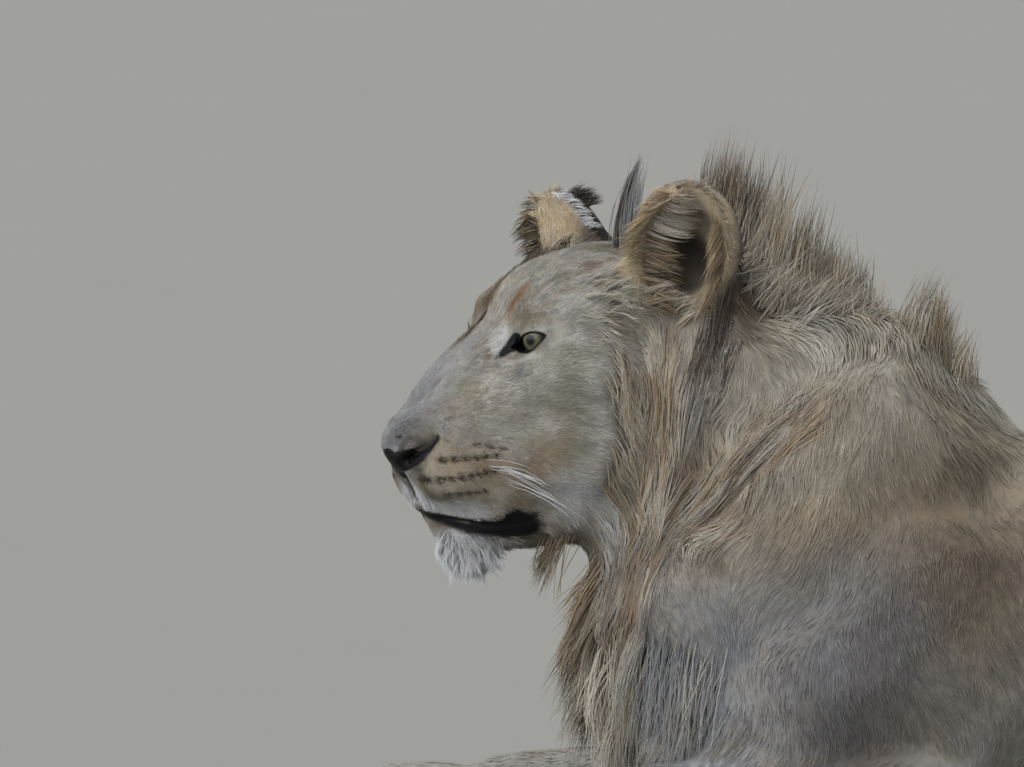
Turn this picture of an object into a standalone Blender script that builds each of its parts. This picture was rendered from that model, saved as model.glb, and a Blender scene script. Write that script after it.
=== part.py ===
"""A young male lion at rest, life size, as a still museum model.

Blender 4.5, metres, +Z up. The lion lies on its chest facing -X with its head turned to its left.
Every mass is given as (forward, left, up) in the frame of the body or of the head. The masses melt
together as metaballs, the result is cut flat where it rests on the floor, and thin gaps part it into
named nodes.
"""

import math

import bpy
from mathutils import Euler, Matrix, Vector

# ---- driving dimensions -------------------------------------------------------------------------
EYE_HEIGHT = 0.457  # above the floor, the lion lying down
EYE_AHEAD = 0.338  # eyes ahead of the withers
EYE_ASIDE = 0.070  # eyes to the left of the body's midline
HEAD_TURN = math.radians(41)  # head turned to the lion's left
EYE_CENTRE = (-0.001, 0.050, 0.001)  # of the left eyeball, from midway between the eyes
EYE_RADIUS = 0.0185
GAP = 0.0004  # between neighbouring nodes

# ---- how the masses melt ------------------------------------------------------------------------
FLESH_STIFFNESS = 10.0  # high, so that masses melt together only where they nearly touch
HOLLOW_STIFFNESS = 40.0  # higher, so that a hollow presses into any mass
THRESHOLD = 0.6
GRAIN = 0.004  # fineness of the melted surface
SOFTENING = 12  # passes that ease the creases between masses
TRIANGLES = 3900  # of the whole flesh before it is parted
FACE_REACH = 0.26  # around the eyes, where the surface stays finer
PAW_REACH = 0.13  # around each forepaw, likewise
SPARED = 0.9  # share of the thinning that reaches the face and the forepaws

BODY_FRAME = Matrix.Rotation(math.pi, 4, "Z")
HEAD_FRAME = (
    BODY_FRAME
    @ Matrix.Translation((EYE_AHEAD, EYE_ASIDE, EYE_HEIGHT))
    @ Matrix.Rotation(HEAD_TURN, 4, "Z")
)

# ---- colours ------------------------------------------------------------------------------------
COATS = {
    "coat": ((0.36, 0.29, 0.19), 0.85),
    "mane": ((0.27, 0.19, 0.10), 0.85),
    "muzzle": ((0.46, 0.42, 0.35), 0.85),
    "paw": ((0.42, 0.36, 0.26), 0.85),
    "tuft": ((0.06, 0.045, 0.035), 0.9),
    "nose": ((0.03, 0.027, 0.026), 0.45),
    "eye": ((0.34, 0.24, 0.06), 0.15),
}

# ---- masses on the midline: name: (centre, radii, pitch in degrees, nose down is positive) --------
TRUNK = {
    "ribs": ((-0.20, 0.0, 0.200), (0.34, 0.160, 0.178), 0),
    "breast": ((0.09, 0.0, 0.190), (0.13, 0.130, 0.150), 0),
    "sternum": ((-0.02, 0.0, 0.090), (0.21, 0.105, 0.105), 0),
    "withers": ((0.020, 0.0, 0.345), (0.12, 0.080, 0.085), 0),
    "belly": ((-0.46, 0.0, 0.120), (0.25, 0.170, 0.135), 0),
    "loin": ((-0.50, 0.0, 0.265), (0.22, 0.110, 0.105), 0),
    "rump": ((-0.73, 0.0, 0.250), (0.16, 0.130, 0.130), -12),
    "tail_root": ((-0.875, 0.0, 0.200), (0.07, 0.042, 0.045), -35),
}

NECK = {
    "neck_base": ((0.07, 0.0, 0.310), (0.130, 0.130, 0.130), 0),
    "neck_middle": ((0.145, -0.010, 0.350), (0.105, 0.125, 0.140), 0),
    "neck_top": ((0.190, -0.005, 0.420), (0.075, 0.105, 0.105), 0),
    "throat": ((0.215, 0.020, 0.285), (0.075, 0.095, 0.125), 0),
    "throat_fringe": ((0.235, 0.045, 0.200), (0.050, 0.080, 0.080), 8),
    "breast_fringe": ((0.245, 0.060, 0.160), (0.045, 0.060, 0.050), 0),
    "nape": ((0.085, -0.005, 0.425), (0.115, 0.070, 0.070), 18),
}

# ---- masses on both sides: name: (centre, radii, (roll, pitch, yaw) in degrees for the left side) --
SHOULDERS = {
    "blade": ((0.055, 0.095, 0.320), (0.095, 0.060, 0.150), (12, -38, 0)),
    "point": ((0.145, 0.115, 0.225), (0.080, 0.065, 0.090), (0, 0, 0)),
    "upper_arm": ((0.050, 0.150, 0.150), (0.135, 0.062, 0.085), (0, 38, 0)),
    "triceps": ((-0.035, 0.140, 0.205), (0.080, 0.055, 0.125), (8, 12, 0)),
    "elbow": ((-0.030, 0.165, 0.075), (0.065, 0.052, 0.062), (0, 0, 0)),
}

HAUNCHES = {
    "thigh": ((-0.655, 0.150, 0.195), (0.185, 0.088, 0.150), (-14, 24, 6)),
    "knee": ((-0.520, 0.200, 0.140), (0.090, 0.060, 0.080), (0, 35, 0)),
    "ham": ((-0.790, 0.130, 0.150), (0.085, 0.070, 0.110), (-8, 0, 0)),
    "shank": ((-0.680, 0.205, 0.070), (0.165, 0.048, 0.052), (0, -18, 0)),
}

# ---- the head, in its own frame: its origin lies midway between the eyes --------------------------
SKULL = {
    "cranium": ((-0.083, 0.0, 0.012), (0.085, 0.078, 0.066), 0),
    "forehead": ((-0.021, 0.0, 0.020), (0.056, 0.056, 0.036), 48),
    "stop": ((0.019, 0.0, -0.020), (0.034, 0.044, 0.030), 50),
    "nose": ((0.098, 0.0, -0.087), (0.024, 0.030, 0.026), 30),
    "muzzle": ((0.048, 0.0, -0.086), (0.058, 0.048, 0.046), 22),
    "palate": ((0.036, 0.0, -0.122), (0.056, 0.040, 0.024), 0),
    "front_lip": ((0.071, 0.0, -0.134), (0.022, 0.034, 0.021), 0),
    "gullet": ((-0.069, 0.0, -0.115), (0.085, 0.060, 0.060), 0),
    "occiput": ((-0.142, 0.0, -0.010), (0.060, 0.078, 0.075), 0),
}

JAW = {
    "chin": ((0.051, 0.0, -0.164), (0.028, 0.036, 0.022), 0),
    "beard": ((0.046, 0.0, -0.184), (0.027, 0.028, 0.017), 0),
    "jaw_floor": ((-0.001, 0.0, -0.160), (0.065, 0.038, 0.024), 0),
}

FACE = {
    "bridge": ((0.058, 0.014, -0.044), (0.070, 0.021, 0.026), (0, 50, 0)),
    "maxilla": ((0.034, 0.038, -0.068), (0.066, 0.028, 0.040), (-16, 42, -12)),
    "lip_pad": ((0.066, 0.028, -0.110), (0.038, 0.030, 0.028), (0, 14, -14)),
    "flews": ((0.026, 0.040, -0.124), (0.046, 0.020, 0.026), (0, 0, -10)),
    "mask": ((-0.002, 0.036, -0.080), (0.070, 0.048, 0.060), (0, 0, -10)),
    "under_eye": ((0.013, 0.056, -0.042), (0.046, 0.028, 0.028), (0, 30, -24)),
    "cheekbone": ((-0.030, 0.070, -0.030), (0.056, 0.034, 0.038), (0, 10, -16)),
    "cheek": ((-0.043, 0.062, -0.080), (0.066, 0.042, 0.060), (0, 0, 0)),
    "brow": ((-0.008, 0.042, 0.026), (0.036, 0.024, 0.018), (-20, 42, 10)),
    "temple": ((-0.054, 0.060, 0.014), (0.050, 0.032, 0.042), (0, 0, 0)),
    "jaw_side": ((-0.007, 0.038, -0.146), (0.070, 0.022, 0.026), (0, 0, -14)),
    "jaw_angle": ((-0.063, 0.052, -0.120), (0.050, 0.036, 0.050), (0, 0, 0)),
    "ruff": ((-0.124, 0.066, -0.085), (0.048, 0.045, 0.110), (0, 8, 0)),
    "ear_root": ((-0.103, 0.066, 0.040), (0.045, 0.034, 0.038), (-20, 0, 0)),
}

SOCKET = ((0.024, 0.064, 0.000), (0.023, 0.014, 0.012), (0, 12, -42))

# ---- ears: each turns by itself; the bowl is pressed into the furry shell --------------------------
EARS = {
    "left": {"centre": (-0.112, 0.094, 0.078), "turn": (-14, -6, -34)},
    "right": {"centre": (-0.098, 0.092, 0.058), "turn": (-22, -8, -52)},
}
EAR_SHELL = (0.049, 0.034, 0.059)
EAR_BOWL = (0.036, 0.034, 0.044)
EAR_BOWL_SHIFT = (0.002, 0.026, 0.002)  # from the shell's centre, towards the opening

# ---- crests of the mane: (centre, radii, pitch in degrees) ----------------------------------------
CREST = (
    ((0.169, -0.036, 0.534), (0.032, 0.018, 0.092), 5),
    ((0.132, -0.028, 0.500), (0.036, 0.018, 0.066), -14),
    ((0.080, -0.010, 0.465), (0.042, 0.016, 0.042), -28),
    ((0.006, 0.000, 0.440), (0.030, 0.014, 0.056), -22),
)
CROWN_TUFT = ((-0.110, 0.0, 0.116), (0.016, 0.011, 0.042), -23)

# ---- legs: stations of (place, radius) along each lower limb ---------------------------------------
FOREARMS = {
    "left": (((-0.020, 0.170, 0.072), 0.064), ((0.300, 0.155, 0.052), 0.050)),
    "right": (((0.020, 0.165, 0.066), 0.058), ((0.400, 0.140, 0.044), 0.042)),
}
HIND_FEET = (((-0.830, 0.205, 0.048), 0.044), ((-0.600, 0.235, 0.036), 0.036))
LIMB_STEP = 0.030  # between the round masses of a limb
PAW_LENGTH = 0.150
HIND_PAW_LENGTH = 0.120
HIND_PAW_GIRTH = 1.15  # of the ankle's
INSTEP = (0.45, 0.92)  # the top of a foot: share of its length ahead of the wrist, share of its height
INSTEP_RADII = (0.55, 1.02, 0.86)  # of the foot's length, and of the wrist's radius twice
TOES = ((-0.036, -0.016), (-0.013, 0.0), (0.013, 0.0), (0.036, -0.016))  # (aside, ahead) of each toe
TOE_ROW = 0.82  # share of the foot's length to the middle of the toes
TOE_RADII = (0.036, 0.018, 0.024)
TOE_LIFT = 0.004  # of a toe's middle above resting on the floor
TOE_PITCH = 6
TOE_SPREAD = 2.0  # radians of outward turn per metre aside

# ---- tail ---------------------------------------------------------------------------------------
TAIL_ROUTE = (
    (-0.90, 0.00, 0.190),
    (-0.99, 0.02, 0.070),
    (-1.01, 0.10, 0.024),
    (-0.96, 0.24, 0.022),
    (-0.84, 0.34, 0.022),
    (-0.68, 0.37, 0.022),
    (-0.52, 0.36, 0.022),
)
TAIL_RADII = (0.036, 0.019)  # at the root and towards the tip
TAIL_TAPER = 1.6  # the thin radius is reached at one part in this much of the length
TAIL_STEP = 0.016
TAIL_TUFT = ((-0.450, 0.350, 0.026), (0.080, 0.032, 0.030))


# ---- how the flesh is parted, in this order: (node, coat, lowest corner, highest corner, pitch) -------
# corners are (forward, left, up); a pitch turns the box about its lowest back edge
HEAD_CUTS = (
    ("left_ear", "coat", (-0.172, 0.060, 0.034), (-0.050, 0.180, 0.170), 0),
    ("right_ear", "coat", (-0.158, -0.180, 0.020), (-0.040, -0.060, 0.170), 0),
    ("nose", "nose", (0.095, -0.040, -0.122), (0.160, 0.040, -0.074), 0),
    ("lower_jaw", "muzzle", (-0.026, -0.090, -0.207), (0.140, 0.090, -0.1505), 0),
    ("head", "coat", (-0.062, -0.190, -0.252), (0.290, 0.190, 0.175), -13),
)
BODY_CUTS = (
    ("left_forepaw", "paw", (0.285, 0.090, -0.02), (0.600, 0.240, 0.118), 0),
    ("right_forepaw", "paw", (0.385, -0.240, -0.02), (0.700, -0.070, 0.118), 0),
    ("left_forearm", "coat", (-0.105, 0.098, -0.02), (0.290, 0.260, 0.124), 0),
    ("right_forearm", "coat", (-0.080, -0.250, -0.02), (0.390, -0.084, 0.118), 0),
    ("neck", "mane", (0.237, -0.150, 0.060), (0.560, 0.150, 0.720), -24),
    ("left_shoulder", "coat", (-0.130, 0.112, 0.110), (0.260, 0.260, 0.430), 0),
    ("right_shoulder", "coat", (-0.130, -0.260, 0.110), (0.260, -0.112, 0.430), 0),
    ("tail_tuft", "tuft", (-0.520, 0.300, -0.02), (-0.340, 0.410, 0.080), 0),
    ("tail_end", "coat", (-0.740, 0.300, -0.02), (-0.510, 0.420, 0.080), 0),
    ("tail_middle", "coat", (-1.080, 0.260, -0.02), (-0.735, 0.420, 0.080), 0),
    ("tail_base", "coat", (-1.080, -0.060, -0.02), (-0.905, 0.270, 0.260), 0),
    ("left_hind_foot", "paw", (-0.600, 0.165, -0.02), (-0.400, 0.310, 0.082), 0),
    ("right_hind_foot", "paw", (-0.600, -0.310, -0.02), (-0.400, -0.165, 0.082), 0),
    ("left_shank", "coat", (-0.905, 0.125, -0.02), (-0.590, 0.310, 0.104), 0),
    ("right_shank", "coat", (-0.905, -0.310, -0.02), (-0.590, -0.125, 0.104), 0),
    ("left_thigh", "coat", (-0.890, 0.112, 0.080), (-0.420, 0.310, 0.420), 0),
    ("right_thigh", "coat", (-0.890, -0.310, 0.080), (-0.420, -0.112, 0.420), 0),
    ("rump", "coat", (-0.960, -0.200, -0.02), (-0.620, 0.200, 0.460), 0),
    ("belly", "coat", (-0.625, -0.240, -0.02), (-0.300, 0.240, 0.460), 0),
)
REST = ("chest", "coat")
ABOVE_FLOOR = ((-2, -1, 0), (2, 1, 1))
BALL_SEGMENTS = 16
BALL_RINGS = 10


def clear_scene():
    for obj in list(bpy.data.objects):
        bpy.data.objects.remove(obj)


def collection(name):
    made = bpy.data.collections.new(name)
    bpy.context.scene.collection.children.link(made)
    return made


def coat_material(name):
    colour, roughness = COATS[name]
    material = bpy.data.materials.new(name)
    material.use_nodes = True
    shader = material.node_tree.nodes["Principled BSDF"]
    shader.inputs["Base Color"].default_value = (*colour, 1)
    shader.inputs["Roughness"].default_value = roughness
    shader.inputs["Metallic"].default_value = 0
    return material


# ---- melting masses -----------------------------------------------------------------------------
def add_mass(flesh, frame, centre, radii, turn=(0, 0, 0), hollow=False):
    """One ellipsoid of flesh. A hollow one presses a dent instead."""
    element = flesh.elements.new(type="ELLIPSOID")
    element.co = frame @ Vector(centre)
    element.rotation = (frame.to_3x3() @ turned(turn)).to_quaternion()
    element.radius = 1.0
    element.stiffness = HOLLOW_STIFFNESS if hollow else FLESH_STIFFNESS
    element.use_negative = hollow
    reach = 1 / math.sqrt(1 - (THRESHOLD / element.stiffness) ** (1 / 3))  # alone, a mass keeps its radii
    element.size_x, element.size_y, element.size_z = (radius * reach for radius in radii)


def turned(degrees):
    return Euler([math.radians(angle) for angle in degrees]).to_matrix()


def add_midline(flesh, frame, masses):
    for centre, radii, pitch in masses.values():
        add_mass(flesh, frame, centre, radii, (0, pitch, 0))


def add_pairs(flesh, frame, masses):
    for centre, radii, turn in masses.values():
        for side in (1, -1):
            add_mass(flesh, frame, *on_side(centre, radii, turn, side))


def on_side(centre, radii, turn, side):
    forward, left, up = centre
    roll, pitch, yaw = turn
    return (forward, left * side, up), radii, (roll * side, pitch, yaw * side)


def add_limb(flesh, frame, start, end, radii):
    """Round masses along a straight limb, tapering from the first radius to the second."""
    start, end = Vector(start), Vector(end)
    count = max(2, round((end - start).length / LIMB_STEP))
    for i in range(count + 1):
        share = i / count
        radius = radii[0] + (radii[1] - radii[0]) * share
        add_mass(flesh, frame, start.lerp(end, share), (radius,) * 3)


def add_paw(flesh, frame, wrist, radius, length):
    """The broad flat foot ahead of a wrist or hock, with four toes side by side."""
    forward, left, up = wrist
    instep = (forward + INSTEP[0] * length, left, INSTEP[1] * up)
    long, wide, high = INSTEP_RADII
    add_mass(flesh, frame, instep, (long * length, wide * radius, high * radius))
    for aside, ahead in TOES:
        toe = (forward + TOE_ROW * length + ahead, left + aside, TOE_RADII[2] + TOE_LIFT)
        add_mass(flesh, frame, toe, TOE_RADII, (0, TOE_PITCH, math.degrees(TOE_SPREAD * aside)))


def add_ears_and_sockets(flesh):
    for side, ear in EARS.items():
        sign = 1 if side == "left" else -1
        centre, radii, turn = on_side(ear["centre"], EAR_SHELL, ear["turn"], sign)
        add_mass(flesh, HEAD_FRAME, centre, radii, turn)
        add_mass(flesh, HEAD_FRAME, *on_side(*SOCKET, sign), hollow=True)


def smooth_route(points, step):
    """Places along a smooth curve through the points, one step apart."""
    ends = [2 * Vector(points[0]) - Vector(points[1]), *map(Vector, points)]
    ends.append(2 * Vector(points[-1]) - Vector(points[-2]))
    route = []
    for a, b, c, d in zip(ends, ends[1:], ends[2:], ends[3:]):
        count = max(1, round((c - b).length / step))
        for i in range(count):
            t = i / count
            bend = (2 * a - 5 * b + 4 * c - d) * t**2 + (3 * b - a - 3 * c + d) * t**3
            route.append(b + ((c - a) * t + bend) / 2)
    return [*route, ends[-2]]


def add_tail(flesh):
    route = smooth_route(TAIL_ROUTE, TAIL_STEP)
    for i, place in enumerate(route):
        share = i / (len(route) - 1)
        radius = TAIL_RADII[0] + (TAIL_RADII[1] - TAIL_RADII[0]) * min(1, TAIL_TAPER * share)
        add_mass(flesh, BODY_FRAME, place, (radius,) * 3)
    add_mass(flesh, BODY_FRAME, *TAIL_TUFT)


def all_masses(flesh):
    for masses in (TRUNK, NECK):
        add_midline(flesh, BODY_FRAME, masses)
    for masses in (SHOULDERS, HAUNCHES):
        add_pairs(flesh, BODY_FRAME, masses)
    for masses in (SKULL, JAW):
        add_midline(flesh, HEAD_FRAME, masses)
    add_pairs(flesh, HEAD_FRAME, FACE)
    add_ears_and_sockets(flesh)
    for centre, radii, pitch in CREST:
        add_mass(flesh, BODY_FRAME, centre, radii, (0, pitch, 0))
    add_mass(flesh, HEAD_FRAME, CROWN_TUFT[0], CROWN_TUFT[1], (0, CROWN_TUFT[2], 0))
    for side, sign in (("left", 1), ("right", -1)):
        add_leg(flesh, sign, FOREARMS[side], PAW_LENGTH, 1.0)
        add_leg(flesh, sign, HIND_FEET, HIND_PAW_LENGTH, HIND_PAW_GIRTH)
    add_tail(flesh)


def add_leg(flesh, sign, stations, paw_length, paw_girth):
    """A lower limb along the floor from elbow or hock, with the foot ahead of it."""
    (start, thick), (end, thin) = stations
    start, end = ((forward, sign * left, up) for forward, left, up in (start, end))
    add_limb(flesh, BODY_FRAME, start, end, (thick, thin))
    add_paw(flesh, BODY_FRAME, end, thin * paw_girth, paw_length)


def melted_lion():
    """All the masses as one closed mesh: softened, thinned and cut flat where it meets the floor."""
    flesh = bpy.data.metaballs.new("flesh")
    flesh.threshold = THRESHOLD
    flesh.resolution = GRAIN
    flesh.render_resolution = GRAIN
    all_masses(flesh)
    source = bpy.data.objects.new("flesh", flesh)
    bpy.context.scene.collection.objects.link(source)
    lion = bpy.data.objects.new("lion", finished_mesh(source))
    bpy.data.objects.remove(source)
    bpy.context.scene.collection.objects.link(lion)
    soften = lion.modifiers.new("soften", "SMOOTH")
    soften.factor = 0.5
    soften.iterations = SOFTENING
    thin_out(lion)
    lion.data = finished_mesh(lion)
    lion.modifiers.clear()
    above_floor = box("above_floor", BODY_FRAME, *ABOVE_FLOOR, 0)
    keep(lion, above_floor, "INTERSECT")
    bpy.data.objects.remove(above_floor)
    return lion


def thin_out(lion):
    """Fewer triangles everywhere, least so on the face and the forepaws."""
    group = lion.vertex_groups.new(name="thin")
    fine = [(HEAD_FRAME.translation, FACE_REACH)]
    for side, sign in (("left", 1), ("right", -1)):
        ahead, aside, up = FOREARMS[side][1][0]
        paw = BODY_FRAME @ Vector((ahead + INSTEP[0] * PAW_LENGTH, sign * aside, up))
        fine.append((paw, PAW_REACH))
    for vertex in lion.data.vertices:
        spared = any((vertex.co - place).length < reach for place, reach in fine)
        group.add([vertex.index], SPARED if spared else 1.0, "REPLACE")
    lion.data.calc_loop_triangles()
    thin = lion.modifiers.new("thin", "DECIMATE")
    thin.ratio = TRIANGLES / len(lion.data.loop_triangles)
    thin.vertex_group = group.name


def finished_mesh(obj):
    graph = bpy.context.evaluated_depsgraph_get()
    return bpy.data.meshes.new_from_object(obj.evaluated_get(graph))


# ---- parting ------------------------------------------------------------------------------------
def box(name, frame, low, high, pitch, grow=0.0):
    """A box between two corners, turned about its lowest back edge, in the frame of the head or body."""
    low, high = Vector(low), Vector(high)
    bpy.ops.mesh.primitive_cube_add(size=1)
    made = bpy.context.object
    made.name = name
    size = Matrix.Diagonal((*(high - low + Vector((grow, grow, grow)) * 2), 1))
    pivot = Vector((low.x, 0, low.z))
    turn = Matrix.Translation(pivot) @ Matrix.Rotation(math.radians(pitch), 4, "Y")
    made.data.transform(frame @ turn @ Matrix.Translation((low + high) / 2 - pivot) @ size)
    return made


def keep(obj, cutter, operation):
    cut = obj.modifiers.new("cut", "BOOLEAN")
    cut.operation = operation
    cut.solver = "EXACT"
    cut.object = cutter
    obj.data = finished_mesh(obj)
    obj.modifiers.clear()


def part_away(whole, name, frame, low, high, pitch):
    """Take what lies inside the box out of the whole, as a node of its own with a gap around it."""
    node = bpy.data.objects.new(name, whole.data.copy())
    bpy.context.scene.collection.objects.link(node)
    for obj, operation, grow in ((node, "INTERSECT", 0), (whole, "DIFFERENCE", GAP)):
        cutter = box("cutter", frame, low, high, pitch, grow)
        keep(obj, cutter, operation)
        bpy.data.objects.remove(cutter)
    return node


def ball(name, place, radii):
    """A ball stretched to three radii, at a place in the frame of the head."""
    bpy.ops.mesh.primitive_uv_sphere_add(segments=BALL_SEGMENTS, ring_count=BALL_RINGS, radius=1)
    made = bpy.context.object
    made.name = name
    made.data.transform(HEAD_FRAME @ place @ Matrix.Diagonal((*radii, 1)))
    return made


def eyeball(name, sign, radius):
    ahead, aside, up = EYE_CENTRE
    return ball(name, Matrix.Translation((ahead, sign * aside, up)), (radius,) * 3)


def hollow_ear(lion, ear, sign):
    """Press the open bowl into the furry shell of an ear."""
    centre, radii, turn = on_side(ear["centre"], EAR_BOWL, ear["turn"], sign)
    ahead, out, up = EAR_BOWL_SHIFT
    lie = turned(turn).to_4x4()
    place = Matrix.Translation(centre) @ lie @ Matrix.Translation((ahead, out * sign, up))
    bowl = ball("bowl", place, radii)
    keep(lion, bowl, "DIFFERENCE")
    bpy.data.objects.remove(bowl)


def finish(nodes, coats):
    """Materials, and the middle of the lion's footprint moved to the origin."""
    corners = [vertex.co for node in nodes for vertex in node.data.vertices]
    low = Vector(min(co[i] for co in corners) for i in range(3))
    high = Vector(max(co[i] for co in corners) for i in range(3))
    home = Matrix.Translation((-(low.x + high.x) / 2, -(low.y + high.y) / 2, -low.z))
    shown = collection("lion")
    materials = {coat: coat_material(coat) for coat in COATS}
    for node, coat in zip(nodes, coats):
        node.data.transform(home)
        node.data.name = node.name
        node.data.materials.clear()
        node.data.materials.append(materials[coat])
        node.data.shade_smooth()
        for place in list(node.users_collection):
            place.objects.unlink(node)
        shown.objects.link(node)


def main():
    clear_scene()
    lion = melted_lion()
    nodes, coats = [], []
    for side, sign in (("left", 1), ("right", -1)):
        nodes.append(eyeball(side + "_eye", sign, EYE_RADIUS))
        coats.append("eye")
        socket = eyeball("socket", sign, EYE_RADIUS + GAP)
        keep(lion, socket, "DIFFERENCE")
        bpy.data.objects.remove(socket)
        hollow_ear(lion, EARS[side], sign)
    for frame, cuts in ((HEAD_FRAME, HEAD_CUTS), (BODY_FRAME, BODY_CUTS)):
        for name, coat, low, high, pitch in cuts:
            nodes.append(part_away(lion, name, frame, low, high, pitch))
            coats.append(coat)
    lion.name, coat = REST
    finish([*nodes, lion], [*coats, coat])


main()
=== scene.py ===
import math
import bpy
import numpy as np
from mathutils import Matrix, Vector
from mathutils.bvhtree import BVHTree
from mathutils.kdtree import KDTree


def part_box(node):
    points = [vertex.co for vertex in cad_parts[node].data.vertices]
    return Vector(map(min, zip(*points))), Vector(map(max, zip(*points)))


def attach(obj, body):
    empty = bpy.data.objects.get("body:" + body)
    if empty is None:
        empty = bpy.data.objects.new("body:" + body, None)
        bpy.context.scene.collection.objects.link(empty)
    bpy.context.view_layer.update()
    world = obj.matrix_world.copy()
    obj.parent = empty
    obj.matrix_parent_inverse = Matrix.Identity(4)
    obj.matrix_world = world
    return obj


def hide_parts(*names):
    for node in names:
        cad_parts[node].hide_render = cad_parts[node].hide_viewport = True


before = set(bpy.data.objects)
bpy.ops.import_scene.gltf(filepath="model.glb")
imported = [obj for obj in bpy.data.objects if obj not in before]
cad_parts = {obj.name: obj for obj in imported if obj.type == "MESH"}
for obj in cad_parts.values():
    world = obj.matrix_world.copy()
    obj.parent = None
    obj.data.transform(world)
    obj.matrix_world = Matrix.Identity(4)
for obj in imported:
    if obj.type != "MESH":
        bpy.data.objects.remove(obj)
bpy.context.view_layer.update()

scene = bpy.context.scene
up = np.array([0.0, 0.0, 1.0])
mm = 0.001


# small helpers

def boxMiddle(node):
    low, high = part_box(node)
    return np.array((low + high) / 2)


def unit(v):
    return v / np.maximum(np.linalg.norm(v, axis=-1, keepdims=True), 1e-9)


def alongSkin(vectors, normals):
    return unit(vectors - normals * np.sum(vectors * normals, axis=1, keepdims=True))


def ramp(x, start, end):
    # 0 before start, 1 after end, smooth between
    t = np.clip((x - start) / (end - start), 0.0, 1.0)
    return t * t * (3 - 2 * t)


def toLinear(hexColour):
    parts = [int(hexColour[i:i + 2], 16) / 255 for i in (1, 3, 5)]
    return np.array([c / 12.92 if c <= 0.04045 else ((c + 0.055) / 1.055) ** 2.4 for c in parts])


def selectOnly(piece):
    bpy.ops.object.select_all(action="DESELECT")
    piece.select_set(True)
    bpy.context.view_layer.objects.active = piece


def applyModifier(piece, kind, **settings):
    selectOnly(piece)
    modifier = piece.modifiers.new(kind.lower(), kind)
    for name, value in settings.items():
        setattr(modifier, name, value)
    bpy.ops.object.modifier_apply(modifier=modifier.name)


def pull(items, field, wide, kind=np.int32):
    # one value of every item of a mesh, as rows
    flat = np.empty(len(items) * wide, kind)
    items.foreach_get(field, flat)
    return flat.reshape(-1, wide)


def push(items, field, values):
    items.foreach_set(field, np.asarray(values, np.float32).ravel())


def readPoints(mesh, field="co"):
    return pull(mesh.vertices, field, 3, np.float32).astype(float)


def writePoints(mesh, points):
    push(mesh.vertices, "co", points)
    mesh.update()


def edgePairs(mesh):
    return pull(mesh.edges, "vertices", 2)


def paintTint(mesh, tints):
    rgba = np.ones((len(tints), 4))
    rgba[:, :3] = np.clip(tints, 0, 1)
    push(mesh.color_attributes.new("tint", "FLOAT_COLOR", "POINT").data, "color", rgba)


def paintValue(mesh, name, values):
    push(mesh.attributes.new(name, "FLOAT", "POINT").data, "value", values)


def spread(values, pairs, rounds, share=0.5):
    # evens out a value over the mesh, each round towards the mean of its neighbours
    count = np.maximum(np.bincount(pairs.ravel(), minlength=len(values)), 1)[:, None]
    flat = values.reshape(len(values), -1)
    share = np.asarray(share).reshape(-1, 1)
    for _ in range(rounds):
        total = np.stack([
            np.bincount(pairs[:, 0], flat[pairs[:, 1], k], len(flat))
            + np.bincount(pairs[:, 1], flat[pairs[:, 0], k], len(flat))
            for k in range(flat.shape[1])
        ], 1)
        flat = flat * (1 - share) + share * total / count
    return flat.reshape(values.shape)


# the two frames that the lion is described in; tables of places and sizes are in mm

eyeLeft, eyeRight = boxMiddle("left_eye"), boxMiddle("right_eye")
eyes = ((eyeLeft, 1), (eyeRight, -1))  # and the side that each is on
headSide = unit(eyeLeft - eyeRight)  # towards its left
headFront = np.cross(headSide, up)  # towards its nose
headOrigin = (eyeLeft + eyeRight) / 2 + headFront * 0.001 - up * 0.001
withers = np.array([-0.241, 0.0506, 0.0])  # the body's origin
bodyTurn = np.array([-1.0, -1.0, 1.0])  # its forward is -X, its left is -Y
skullMiddle = np.array([0.0, 0.0, -0.06])  # in the head's frame


def toHead(points):
    rel = points - headOrigin
    return np.stack([rel @ headFront, rel @ headSide, rel @ up], -1)


def toBody(points):
    return (points - withers) * bodyTurn


def toRow(local, where):
    # places in the head's or the body's frame, brought to the shared frame
    local = np.asarray(local, float)
    if where == "head":
        return headOrigin + local[..., :1] * headFront + local[..., 1:2] * headSide + local[..., 2:] * up
    return withers + local * bodyTurn


def mirrored(local):
    return np.stack([local[:, 0], np.abs(local[:, 1]), local[:, 2]], 1)


def skullShare(points, start, end):
    # 0 on the head, 1 beyond it
    return ramp(np.linalg.norm(toHead(points) - skullMiddle, axis=1), start, end)


def near(local, centre, reach, edge=0.5):
    # 1 inside an egg-shaped zone, falling to 0 over its outer part
    away = np.linalg.norm((local / mm - centre) / reach, axis=-1)
    return 1 - ramp(away, 1 - edge, 1 + edge)


def pathDistance(local, path):
    # distance to a polyline, and how far along it (0 to 1)
    path = np.array(path, float) * mm
    best = np.full(len(local), 1e9)
    along = np.zeros(len(local))
    lengths = np.linalg.norm(np.diff(path, axis=0), axis=1)
    total, done = lengths.sum(), 0.0
    for a, b, length in zip(path[:-1], path[1:], lengths):
        t = np.clip((local - a) @ (b - a) / max(length, 1e-9) ** 2, 0, 1)
        away = np.linalg.norm(local - (a + t[:, None] * (b - a)), axis=1)
        closer = away < best
        best = np.where(closer, away, best)
        along = np.where(closer, (done + t * length) / total, along)
        done += length
    return best, along


# skin: the solids joined, freed of the standing hair, and set in by the coat's depth

skinLook = {
    "overlap": 0.6 * mm,  # closes the thin cuts between the solids
    "coarse": 4.2 * mm,  # voxels while the form is worked
    "fine": 3.4 * mm,  # voxels of the finished skin
    "bodyShare": 0.16,  # how much of the body's mesh is kept away from the head
}

flesh = sorted(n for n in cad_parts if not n.endswith("_eye"))

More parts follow.
